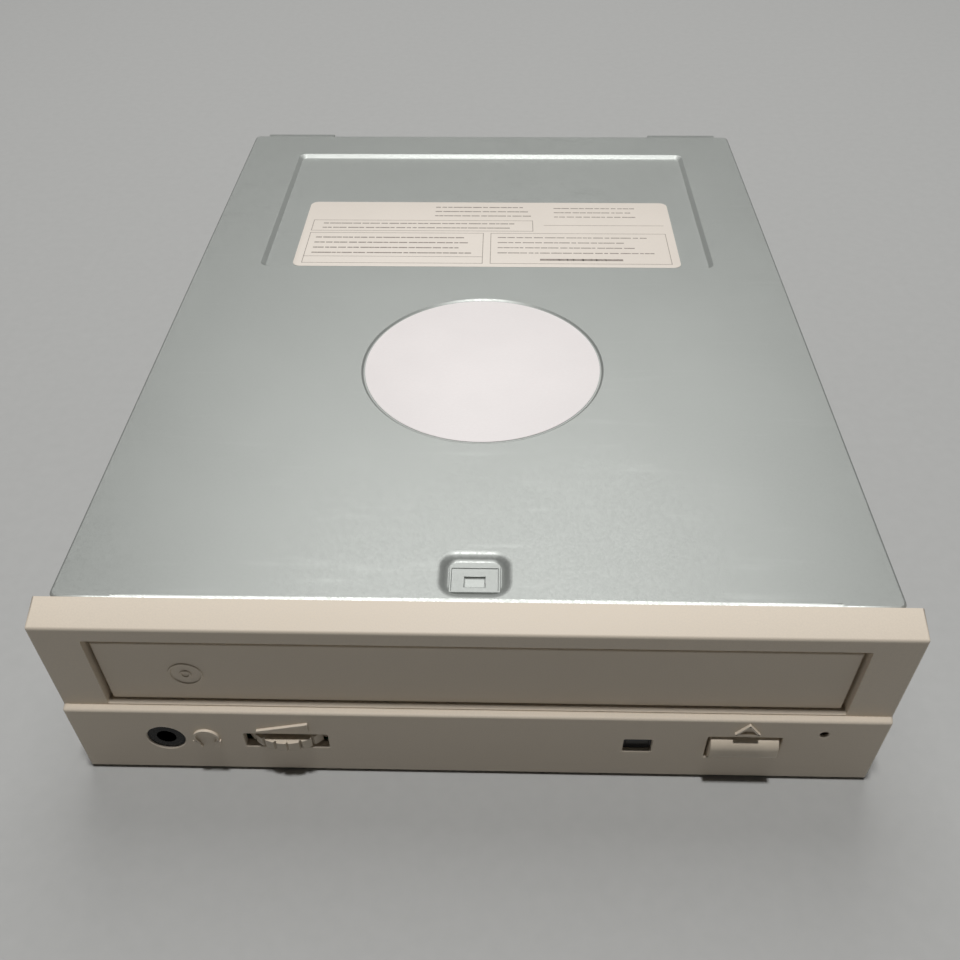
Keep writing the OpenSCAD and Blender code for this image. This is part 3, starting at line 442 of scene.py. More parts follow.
def add_wall(piece, thickness):
    """Gives a skin its sheet or wall thickness, inwards."""
    wall = piece.modifiers.new("wall", "SOLIDIFY")
    wall.thickness = thickness * MM
    wall.offset = -1
    wall.use_even_offset = True
    wall.use_quality_normals = True


def add_edge_radius(piece, width, steps=2, degrees=40):
    """Rounds the edges that are left sharp."""
    edge = piece.modifiers.new("edge_radius", "BEVEL")
    edge.width = width * MM
    edge.segments = steps
    edge.limit_method = "ANGLE"
    edge.angle_limit = math.radians(degrees)
    edge.use_clamp_overlap = False
    edge.harden_normals = True


def merged_copy(node):
    """A clean mesh of a model node: doubles merged and flat faces joined."""
    bm = bmesh.new()
    bm.from_mesh(frame["nodes"][node].data)
    bmesh.ops.remove_doubles(bm, verts=bm.verts, dist=0.002 * MM)
    bmesh.ops.dissolve_limit(bm, angle_limit=math.radians(1), verts=bm.verts, edges=bm.edges)
    return bm


def node_box(node):
    """A node's lowest and highest corners, in millimetres."""
    low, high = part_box(node)
    return low / MM, high / MM


def body_of(node):
    """The body that a node rides on."""
    bodies = frame["record"]["behaviour"]["bodies"]
    return next(body for body, nodes in bodies.items() if node in nodes)


def mounts():
    """The record's mounts by name."""
    return {m["name"]: m for m in frame["record"]["mounts"]}


def mount_point(name):
    """Where a mount is, in millimetres."""
    return Vector(mounts()[name]["pos_m"]) / MM


def node_middle(node):
    """The middle of a node's box, in millimetres."""
    low, high = node_box(node)
    return (low + high) / 2


def softened(node, radius, material, steps=2):
    """Stands in for a model node with its edges rounded."""
    piece = finish_piece(node + "_moulded", merged_copy(node), body_of(node), material, [node])
    add_edge_radius(piece, radius, steps)
    return piece


def dress(node, material):
    """Gives a model node its material."""
    obj = frame["nodes"][node]
    obj.data.materials.clear()
    obj.data.materials.append(material)


# ---- Sizes and colours ----


class DriveSizes(bpy.types.PropertyGroup):
    """Sizes that change how the finished pieces look, in millimetres"""
    cover_bend: FloatProperty(name="Cover bend", description="Bend radius of the cover's edges, mm",
                              default=0.5, min=0.3, max=2.0)
    case_bend: FloatProperty(name="Case bend", description="Bend radius of the bottom case, mm",
                             default=1.1, min=0.3, max=2.0)
    press_slope: FloatProperty(name="Pressing slope", description="Run of the pressed walls, mm",
                               default=0.8, min=0.2, max=2.0)
    bezel_edge: FloatProperty(name="Bezel edge", description="Edge radius of the bezel, mm",
                              default=0.45, min=0.1, max=1.5)
    hole_edge: FloatProperty(name="Hole edge", description="Edge radius of the bezel's holes, mm",
                             default=0.24, min=0.05, max=0.4)
    icon_height: FloatProperty(name="Symbol height", description="Height of the raised symbols, mm",
                               default=0.52, min=0.1, max=0.6)
    wheel_notches: IntProperty(name="Wheel notches", description="Notches round the volume wheel",
                               default=25, min=12, max=60)


class DriveColours(bpy.types.PropertyGroup):
    """Colours of the visible pieces"""
    cover: FloatVectorProperty(name="Cover", description="Coating of the cover", subtype="COLOR",
                               default=linear("#A2A5A1"), min=0, max=1)
    bezel: FloatVectorProperty(name="Bezel", description="Moulded front", subtype="COLOR",
                               default=linear("#E5D8C6"), min=0, max=1)
    button: FloatVectorProperty(name="Button", description="Eject button and wheel",
                                subtype="COLOR", default=linear("#D9CCB9"), min=0, max=1)
    label: FloatVectorProperty(name="Round label", description="Blank round label", subtype="COLOR",
                               default=linear("#EBE5E3"), min=0, max=1)
    rating: FloatVectorProperty(name="Rating label", description="Ruled label", subtype="COLOR",
                                default=linear("#E2D9CE"), min=0, max=1)


def sizes():
    """The sizes that the panel shows."""
    return bpy.context.scene.drive_sizes


def colour(name):
    """One of the panel's colours, linear."""
    return tuple(getattr(bpy.context.scene.drive_colours, name))


# ---- Operators ----


class DRIVE_OT_stage(bpy.types.Operator):
    """Floor, soft overhead light and the camera"""
    bl_idname = "drive.stage"
    bl_label = "Stage"

    def execute(self, context):
        scene = context.scene
        bm = bmesh.new()
        bmesh.ops.create_grid(bm, x_segments=1, y_segments=1, size=6)
        mesh = bpy.data.meshes.new("floor")
        bm.to_mesh(mesh)
        bm.free()
        mesh.materials.append(studio_paper())
        floor = bpy.data.objects.new("floor", mesh)
        scene.collection.objects.link(floor)

        self.add_light(scene, "overhead", (0.0, -0.036, 1.5), (0, -0.02, 0), 0.1, 13.4)
        self.add_light(scene, "back_softbox", (0.0, 0.85, 1.25), (0, 0.05, 0), 1.0, 9.6)
        world = bpy.data.worlds.new("room")
        world.use_nodes = True
        background = world.node_tree.nodes["Background"]
        background.inputs["Color"].default_value = (*linear("#DEDEDE"), 1)
        background.inputs["Strength"].default_value = 0.035
        scene.world = world
        scene.view_settings.view_transform = "Standard"

        self.add_camera(scene)
        return {"FINISHED"}

    def add_light(self, scene, name, place, target, size, watts):
        """A square soft light that looks at a target."""
        data = bpy.data.lights.new(name, "AREA")
        data.size = size
        data.energy = watts
        light = bpy.data.objects.new(name, data)
        light.location = place
        ahead = Vector(target) - Vector(place)
        light.rotation_euler = ahead.to_track_quat("-Z", "Y").to_euler()
        scene.collection.objects.link(light)

    def add_camera(self, scene):
        """A camera 10 cm in front of the bezel and 17 cm up, looking down over the front."""
        place = Vector((4.318, -102.447, 165.808)) * MM
        yaw, pitch, roll = 0.02998, 0.75276, 0.00974
        right = Vector((math.cos(yaw), math.sin(yaw), 0))
        level = Vector((-math.sin(yaw), math.cos(yaw), 0))
        ahead = level * math.cos(pitch) - Vector((0, 0, math.sin(pitch)))
        up = level * math.sin(pitch) + Vector((0, 0, math.cos(pitch)))
        across = right * math.cos(roll) - up * math.sin(roll)
        upright = right * math.sin(roll) + up * math.cos(roll)
        data = bpy.data.cameras.new("camera")
        data.sensor_width = 36
        data.lens = 36.012
        data.clip_start = 0.01
        camera = bpy.data.objects.new("camera", data)
        turn = Matrix((across, upright, -ahead)).transposed().to_4x4()
        camera.matrix_world = Matrix.Translation(place) @ turn
        scene.collection.objects.link(camera)
        scene.camera = camera


class DRIVE_OT_cover(bpy.types.Operator):
    """Pressed top cover with its recesses, latch dimple and rear tabs"""
    bl_idname = "drive.cover"
    bl_label = "Top cover"

    def execute(self, context):
        low, high = node_box("top_cover")
        label_low, label_high = node_box("round_label")
        rating_low, rating_high = node_box("rating_label")
        top = high.z
        half = high.x
        rear = node_box("bottom_case")[1].y - 0.15
        front = low.y
        bm = bmesh.new()
        block(bm, (-half, front, top - 5.5), (half, rear, top))
        pierce(bm, face_at(bm, (0, 0, -1)))
        bevel_edges(bm, sharp_edges(bm, 30, lambda a, b: abs(a.z - b.z) > 1), 1.6, 4)
        bends = sharp_edges(bm, 58, lambda a, b: min(a.z, b.z) > top - 0.001)
        bevel_edges(bm, bends, sizes().cover_bend, 4)

        panel = face_at(bm, (0, 0, 1))
        rims = [self.round_recess(bm, top, label_low, label_high),
                self.rear_recess(bm, top, rating_low, rating_high),
                self.latch_dimple(bm, top)]
        fill_round(bm, panel, rims)
        self.front_slope(bm, top)
        steel = coated_steel(colour("cover"), 0.5, 0.44)
        cover = finish_piece("top_cover_pressed", bm, "chassis", steel, ["top_cover"],
                             50, panels=True)
        add_wall(cover, COVER_SHEET)
        self.rear_tabs(steel, low, high, rear)
        self.tongue(steel, top)
        return {"FINISHED"}

    def round_recess(self, bm, top, low, high):
        """A shallow round recess, a little larger than its label."""
        centre = (low + high) / 2
        radius = (high.x - low.x) / 2 + 0.8
        face = outline_circle(bm, turned(TOP, centre.x, centre.y, top), radius)
        return press(bm, face, (0.45, top - low.z))

    def rear_recess(self, bm, top, low, high):
        """A wide recess behind the round one, with the ruled label at its front."""
        width = 113
        start, end = low.y - 1.5, node_box("bottom_case")[1].y - 12.7
        face = outline_rect(bm, turned(TOP, 0, (start + end) / 2, top), width, end - start, 2.2)
        return press(bm, face, (0.18, 0.06), (sizes().press_slope, top - low.z - 0.12),
                     (0.18, 0.06))

    def latch_dimple(self, bm, top):
        """A dished recess round a raised flat pad with a lanced tab."""
        face = outline_rect(bm, turned(TOP, 0, 6.62, top), 13.1, 10.75, 3.6, 8)
        rim = press(bm, face, (0.35, 0.05), (0.45, 0.2), (0.5, 0.4), (0.45, 0.35), (0.2, 0.05))
        pad = outline_rect(bm, turned(TOP, 0, 5.75, top - 1.05), 8.9, 5.9, 0)
        inner = press(bm, pad, (0.02, -0.45), (0.1, -0.1), (0.24, 0.0), (0.12, 0.14))
        tab = outline_rect(bm, turned(TOP, 0, 5.35, top - 0.64), 3.9, 2.6, 0)
        fill_round(bm, pad, [press(bm, tab, (0.12, 0.05), (0.02, 0.4))])
        fill_round(bm, face, [inner])
        return rim

    def tongue(self, material, top):
        """The lanced tongue in the pad, bent up at its free end."""
        bm = bmesh.new()
        verts = block(bm, (-1.7, 4.1, top - 1.2), (1.7, 5.95, top - 0.95))
        for v in verts:
            if v.co.y > 5.5 * MM:
                v.co.z += 0.28 * MM
        piece = finish_piece("cover_tongue", bm, "chassis", material, ())
        add_edge_radius(piece, 0.06, 2)

    def front_slope(self, bm, top):
        """The front edge slopes down to the bezel between two short steps."""
        half, start = SLOPE_HALF, SLOPE_START
        cuts = [((0, start, 0), (0, 1, 0))]
        cuts += [((x, 0, 0), (1, 0, 0)) for x in (-half, half, -half - 0.4, half + 0.4)]
        for place, normal in cuts:
            near = [f for f in bm.faces if f.calc_center_median().z > (top - 1) * MM
                    and min(v.co.y for v in f.verts) < 1.2 * MM]
            geom = list(dict.fromkeys(g for f in near for g in (*f.verts, *f.edges))) + near
            bmesh.ops.bisect_plane(bm, geom=geom, dist=1e-7, plane_co=Vector(place) * MM,
                                   plane_no=normal)
        for v in bm.verts:
            x, y, z = v.co / MM
            if abs(x) < half + 0.1 and y < start - 0.01 and z > top - 0.6:
                v.co.z = min(z - 0.12, top - (start - y) * 0.45) * MM

    def rear_tabs(self, material, low, high, rear):
        """Hooks that fold over the case's rear wall."""
        for side, name in ((1, "right"), (-1, "left")):
            bm = bmesh.new()
            xs = sorted((side * 48, side * 68))
            block(bm, (xs[0], rear - 1.2, high.z - 0.62), (xs[1], high.y, high.z - 0.02))
            block(bm, (xs[0], high.y - 0.8, low.z), (xs[1], high.y, high.z - 0.62))
            bmesh.ops.remove_doubles(bm, verts=bm.verts, dist=0.001 * MM)
            bend = sharp_edges(bm, 30, lambda a, b: a.y > high.y - 0.01 and b.y > high.y - 0.01
                               and a.z > high.z - 0.03 and b.z > high.z - 0.03)
            bevel_edges(bm, bend, 0.5, 3)
            tab = finish_piece("cover_tab_" + name, bm, "chassis", material, ())
            add_edge_radius(tab, 0.08, 2)


class DRIVE_OT_case(bpy.types.Operator):
    """Bent bottom case with its screw holes, pressed feet and connector cut-outs"""
    bl_idname = "drive.case"
    bl_label = "Bottom case"

    def execute(self, context):
        low, high = node_box("bottom_case")
        bm = bmesh.new()
        block(bm, low, high)
        pierce(bm, face_at(bm, (0, 0, 1)))
        pierce(bm, face_at(bm, (0, -1, 0)))
        bevel_edges(bm, sharp_edges(bm, 30), sizes().case_bend, 4)
        self.floor(bm, mounts()["bottom_holes"])
        for side, plane in ((1, RIGHT), (-1, LEFT)):
            self.side(bm, side, plane, mounts()["right_side_holes"], high.x)
        self.rear(bm, high.y)
        steel = plated_steel("plated_steel_case", linear("#A4ABAB"), 0.4, (1, 0.25, 1))
        case = finish_piece("bottom_case_bent", bm, "chassis", steel, ["bottom_case"],
                            panels=True)
        add_wall(case, CASE_SHEET)
        return {"FINISHED"}

    def floor(self, bm, holes):
        """Screw holes, four pressed feet and three stiffening ribs."""
        panel = face_at(bm, (0, 0, -1))
        rims = []
        centre = Vector(holes["pos_m"]) / MM
        dims = holes["dims"]
        for dx in (-0.5, 0.5):
            for dy in (-0.5, 0.5):
                spot = turned(BOTTOM, dx * dims["spacing_x_mm"],
                              centre.y + dy * dims["spacing_y_mm"], 0)
                rims.append(self.hole(bm, outline_circle(bm, spot, dims["hole_r_mm"], 32)))
        screw_low, screw_high = node_box("frame_screws")
        reach_x = screw_high.x - 2.6
        for x in (-reach_x, reach_x):
            for y in (screw_low.y + 2.6, screw_high.y - 2.6):
                face = outline_circle(bm, turned(BOTTOM, x, y, 0), 4.2, 40)
                rims.append(press(bm, face, (0.25, 0.1), (0.5, 1.3), (0.15, 0.1), (2.0, 0)))
                pierce(bm, face)
        for x, y, width, length in ((-22, 60, 3, 60), (22, 60, 3, 60), (0, 150, 80, 3)):
            face = outline_rect(bm, turned(BOTTOM, x, y, 0), width, length, 1.4)
            rims.append(press(bm, face, (0.3, 0.12), (0.4, 0.28), (0.2, 0.05)))
        fill_round(bm, panel, rims)

    def hole(self, bm, face):
        """Opens a plain hole and gives its rim."""
        rim = list(face.edges)
        pierce(bm, face)
        return rim

    def side(self, bm, side, plane, holes, edge):
        """Screw holes of one wall and the slot for the bezel's clip."""
        panel = face_at(bm, (side, 0, 0))
        centre = Vector(holes["pos_m"]) / MM
        dims = holes["dims"]
        rims = []
        for dy in (-0.5, 0.5):
            for dz in (-0.5, 0.5):
                spot = turned(plane, side * edge, centre.y + dy * dims["spacing_x_mm"],
                              centre.z + dz * dims["spacing_y_mm"])
                rims.append(self.hole(bm, outline_circle(bm, spot, dims["hole_r_mm"], 32)))
        clip = outline_rect(bm, turned(plane, side * edge, 5.75, 15), 5.6, 3.1, 0.4, 3)
        rims.append(self.hole(bm, clip))
        fill_round(bm, panel, rims)

    def rear(self, bm, edge):
        """Windows for the connectors and three rows of vent slots."""
        panel = face_at(bm, (0, 1, 0))
        rims = []
        connectors = (("ide_connector", 0.5), ("power_connector", 0.5), ("jumper_block", 0.6))
        for node, spare in connectors:
            rims.append(self.window(bm, node_box(node), edge, spare))
        low, high = node_box("audio_connectors")
        for x0, x1 in ((low.x, low.x + 11), (high.x - 6.5, high.x)):
            box = (Vector((x0, 0, low.z)), Vector((x1, 0, high.z)))
            rims.append(self.window(bm, box, edge, 0.5))
        for row in range(3):
            for column in range(9):
                spot = turned(BACK, -32 + column * 8, edge, 22 + row * 4.5)
                rims.append(self.hole(bm, outline_rect(bm, spot, 5, 1.6, 0.7, 4)))
        fill_round(bm, panel, rims)

    def window(self, bm, box, edge, spare):
        """A hole in the rear wall round a box, with room to spare."""
        low, high = box
        bottom = max(low.z - spare, 2.6)
        spot = turned(BACK, (low.x + high.x) / 2, edge, (bottom + high.z + spare) / 2)
        face = outline_rect(bm, spot, high.x - low.x + 2 * spare, high.z + spare - bottom, 0.4,
                            3)
        return self.hole(bm, face)


class DRIVE_OT_bezel(bpy.types.Operator):
    """Moulded bezel with its openings and raised symbols"""
    bl_idname = "drive.bezel"
    bl_label = "Bezel"

    def execute(self, context):
        low, high = node_box("bezel")
        plastic = textured_abs("spark_textured_abs", colour("bezel"), 0.58)
        half = high.x
        upper, chin, ledge = BEZEL_FRONT, low.y, LEDGE
        bm = bmesh.new()
        block(bm, (-half, upper, 0), (half, 0, high.z))
        cut_all(bm, (0, 0, ledge * MM), (0, 0, 1))
        lower = face_at(bm, (0, -1, 0), lambda c: c.z < ledge)
        grown = bmesh.ops.extrude_face_region(bm, geom=[lower])
        moved = [g for g in grown["geom"] if isinstance(g, bmesh.types.BMVert)]
        bmesh.ops.translate(bm, vec=(0, (chin - upper) * MM, 0), verts=moved)
        self.draft(bm, upper, chin, ledge, high.z)
        bm.normal_update()
        for face in [f for f in bm.faces if f.normal.y > 0.9]:
            pierce(bm, face)
        outer = sharp_edges(bm, 30, lambda a, b: min(a.y, b.y) < -1
                            and not (abs(a.y - upper) < 0.1 and abs(b.y - upper) < 0.1
                                     and a.z < ledge + 0.1 and b.z < ledge + 0.1))
        bevel_edges(bm, outer, sizes().bezel_edge, 4)
        for v in bm.verts:
            v.co.x = max(-half * MM, min(half * MM, v.co.x))
            v.co.z = max(0.0, min(high.z * MM, v.co.z))
        bm.normal_update()
        self.open_tray(bm, upper, ledge)
        self.open_chin(bm, chin, ledge)
        bezel = finish_piece("bezel_moulded", bm, "chassis", plastic, ["bezel"], 50,
                             panels=True)
        add_wall(bezel, BEZEL_WALL)
        self.symbols(plastic, chin)
        return {"FINISHED"}

    def draft(self, bm, upper, chin, ledge, top):
        """Leans the sides, top and bottom in towards the front."""
        for v in bm.verts:
            x, y, z = v.co / MM
            if y > -1:
                continue
            depth = 0.35 if y > chin + 0.5 else 0.7
            if y > chin + 0.5 and z < ledge - 0.1:
                depth = 0.5
            v.co.x -= math.copysign(depth * MM, x)
            if z > top - 0.1:
                v.co.z -= 1.35 * MM
            if z < 0.1:
                v.co.z += (0.6 if y < chin + 0.5 else 0.45) * MM

    def open_tray(self, bm, upper, ledge):
        """The tray's opening, with a wall that runs back round it."""
        face = face_at(bm, (0, -1, 0), lambda c: c.z > ledge)
        tray_low, tray_high = node_box("tray_front")
        gap = 0.7
        bottom, top = tray_low.z - 0.4, tray_high.z + 0.55
        spot = turned(FRONT, 0, upper, (bottom + top) / 2)
        opening = outline_rect(bm, spot, tray_high.x * 2 + 2 * gap, top - bottom, 0.35, 3)
        rim = press(bm, opening, (0.001, 3.2))
        pierce(bm, opening)
        fill_round(bm, face, [rim])

    def open_chin(self, bm, chin, ledge):
        """Rounded holes for the jack, the pin, the wheel, the button and the window."""
        face = face_at(bm, (0, -1, 0), lambda c: c.z < ledge)
        jack, pin = mount_point("headphone_jack"), mount_point("emergency_eject_hole")
        lip = sizes().hole_edge
        deep, thin = 1.2, 0.3
        holes = [
            (outline_circle(bm, turned(FRONT, jack.x, chin, jack.z), JACK_MOUTH + lip, 64), deep),
            (outline_circle(bm, turned(FRONT, pin.x, chin, pin.z), PIN_HOLE + lip, 32), thin),
        ]
        for node, z, width, height in (("volume_wheel", 10.3, 15.5, 4.2),
                                       ("eject_button", 10.52, 13.3, 6.65),
                                       ("status_window", 10.55, 5.2, 3.9)):
            spot = turned(FRONT, node_middle(node).x, chin, z)
            holes.append((outline_rect(bm, spot, width + 2 * lip, height + 2 * lip, 0.3 + lip, 4),
                          deep))
        fill_round(bm, face, [self.rounded_hole(bm, hole, lip, wall) for hole, wall in holes])

    def rounded_hole(self, bm, face, lip, wall):
        """Turns a face's edge in by a quarter round, runs a wall back and opens it."""
        steps = 4
        angles = [math.radians(90 * step / steps) for step in range(steps + 1)]
        quarter = [(lip * (math.sin(after) - math.sin(before)),
                    lip * (math.cos(before) - math.cos(after)))
                   for before, after in zip(angles, angles[1:])]
        rim = press(bm, face, *quarter, (0.001, wall))
        pierce(bm, face)
        return rim

    def symbols(self, plastic, chin):
        """Raised headphone, volume wedge and eject marks."""
        height = sizes().icon_height
        bm = bmesh.new()
        middle = -49.2
        self.arch(bm, Vector((middle, chin, 11.35)), 2.15, 0.42, height, -50, 230)
        for side in (-1, 1):
            self.bar(bm, (middle + side * 1.55, chin, 8.6), (middle + side * 2.1, chin, 10.2),
                     0.75, height)
        self.add_symbol("headphone_symbol", bm, plastic)

        bm = bmesh.new()
        middle = node_middle("volume_wheel").x
        x0, x1 = middle - 4.8, middle + 4.4
        self.bar(bm, (x0, chin, 13.85), (x1, chin, 16.1), 0.38, height)
        self.bar(bm, (x1, chin, 16.1), (x1, chin, 13.75), 0.3, height)
        self.add_symbol("volume_symbol", bm, plastic)

        bm = bmesh.new()
        middle = node_middle("eject_button").x
        points = [(middle - 2.0, 15.4), (middle, 18.0), (middle + 2.0, 15.4)]
        for a, b in zip(points, points[1:] + points[:1]):
            self.bar(bm, (a[0], chin, a[1]), (b[0], chin, b[1]), 0.42, height)
        self.add_symbol("eject_symbol", bm, plastic)

    def bar(self, bm, start, end, width, height):
        """A raised line between two points of the front plane."""
        start, end = Vector(start), Vector(end)
        along = end - start
        verts = block(bm, (-along.length / 2 - width / 2, -height, -width / 2),
                      (along.length / 2 + width / 2, SUNK, width / 2))
        angle = math.atan2(along.z, along.x)
        turn = Matrix.Rotation(-angle, 3, "Y")
        bmesh.ops.rotate(bm, verts=verts, cent=(0, 0, 0), matrix=turn)
        bmesh.ops.translate(bm, verts=verts, vec=(start + end) / 2 * MM)

    def arch(self, bm, centre, radius, width, height, start, end):
        """A raised arc round a centre on the front plane, from start to end in degrees."""
        spot = turned(TOP, centre.x + radius, centre.y + (SUNK - height) / 2, centre.z)
        section = outline_rect(bm, spot, width, height + SUNK, 0)
        turn = Matrix.Rotation(-math.radians(start), 3, "Y")
        bmesh.ops.rotate(bm, verts=section.verts[:], cent=centre * MM, matrix=turn)
        bmesh.ops.spin(bm, geom=section.verts[:] + section.edges[:] + [section],
                       cent=centre * MM, axis=(0, -1, 0), angle=math.radians(end - start),
                       steps=28, use_merge=False, use_duplicate=False)

    def add_symbol(self, name, bm, plastic):
        """Closes a symbol off as a piece of its own."""
        bmesh.ops.recalc_face_normals(bm, faces=bm.faces)
        piece = finish_piece(name, bm, "chassis", plastic, ())
        add_edge_radius(piece, 0.07, 2)


class DRIVE_OT_labels(bpy.types.Operator):
    """Blank round label and ruled rating label"""
    bl_idname = "drive.labels"
    bl_label = "Labels"

    def execute(self, context):
        self.add_label("round_label", label_paper("white_label_paper", colour("label"), 0.5),
                       lambda bm, spot, size: outline_circle(bm, spot, size.x / 2, 128))
        self.add_label("rating_label", label_paper("cream_label_paper", colour("rating"), 0.5),
                       lambda bm, spot, size: outline_rect(bm, spot, size.x, size.y, 2.0, 8))
        self.ruling(*node_box("rating_label"))
        return {"FINISHED"}

    def add_label(self, node, paper, outline):
        """A sheet of paper as thick as its node, with the outline drawn at its top."""
        low, high = node_box(node)
        bm = bmesh.new()
        face = outline(bm, turned(TOP, (low.x + high.x) / 2, (low.y + high.y) / 2, high.z),
                       high - low)
        self.thicken(bm, face, high.z - low.z, 0.03)
        finish_piece(node + "_paper", bm, "chassis", paper, [node])

    def thicken(self, bm, face, depth, edge):
        """Gives a flat outline its thickness, downwards, and rounds its upper edge."""
        bmesh.ops.extrude_face_region(bm, geom=[face], use_keep_orig=True)
        upper = next(f for f in bm.faces if len(f.verts) > 4 and f is not face)
        bmesh.ops.translate(bm, vec=(0, 0, -depth * MM), verts=face.verts[:])
        bmesh.ops.recalc_face_normals(bm, faces=bm.faces)
        bm.normal_update()
        bevel_edges(bm, upper.edges[:], edge, 2)

    def ruling(self, low, high):
        """Frames and rows of plain dashes, as thin ink."""
        bm = bmesh.new()
        wide = 0.16
        z = high.z
        left, right, front = low.x + 2.2, high.x - 2.2, low.y + 1.6
        middle = (left + right) / 2
        shelf = front + 15.2
        upper = shelf + 6.8

        def line(x0, y0, x1, y1, thick=wide):
            x0, x1 = sorted((x0, x1))
            y0, y1 = sorted((y0, y1))
            block(bm, (x0 - thick / 2, y0 - thick / 2, z - INK),
                  (x1 + thick / 2, y1 + thick / 2, z + INK))

        def frame_round(x0, y0, x1, y1):
            for a in ((x0, y0, x1, y0), (x0, y1, x1, y1), (x0, y0, x0, y1), (x1, y0, x1, y1)):
                line(*a)

        frame_round(left, front, middle - 1, shelf)
        frame_round(middle + 1, front, right, shelf)
        frame_round(left, shelf + 1.2, middle + 12, upper)
        line(left, front + 3.2, middle - 1, front + 3.2)
        line(middle + 15, upper - 2.4, right, upper - 2.4)
        dice = random.Random(7)

        def dashes(x0, x1, y, tall, longest):
            x = x0
            while x < x1 - longest:
                step = dice.uniform(0.5, longest)
                line(x, y, x + step, y, tall)
                x += step + dice.uniform(0.5, 0.9)

        for row in range(4):
            dashes(left + 2, middle - 3 - 3 * (row % 2), front + 5 + row * 2.6, 0.5, 1.8)
            dashes(middle + 3, right - 2 - 4 * (row % 3), front + 5.2 + row * 2.6, 0.4, 2.6)
        dashes(middle + 14, right - 10, front + 1.9, 0.9, 2.4)
        for row in range(2):
            dashes(left + 3, middle + 9, shelf + 2.8 + row * 2.3, 0.45, 2.8)
        for row in range(3):
            dashes(middle - 14, middle + 12, upper + 2.6 + row * 2.4, 0.45, 2.2)
            dashes(middle + 18, right - 6, upper + 2.2 + row * 2.4, 0.4, 1.8)
        ink = printing_ink(linear("#857C74"))
        finish_piece("rating_label_ruling", bm, "chassis", ink, ())


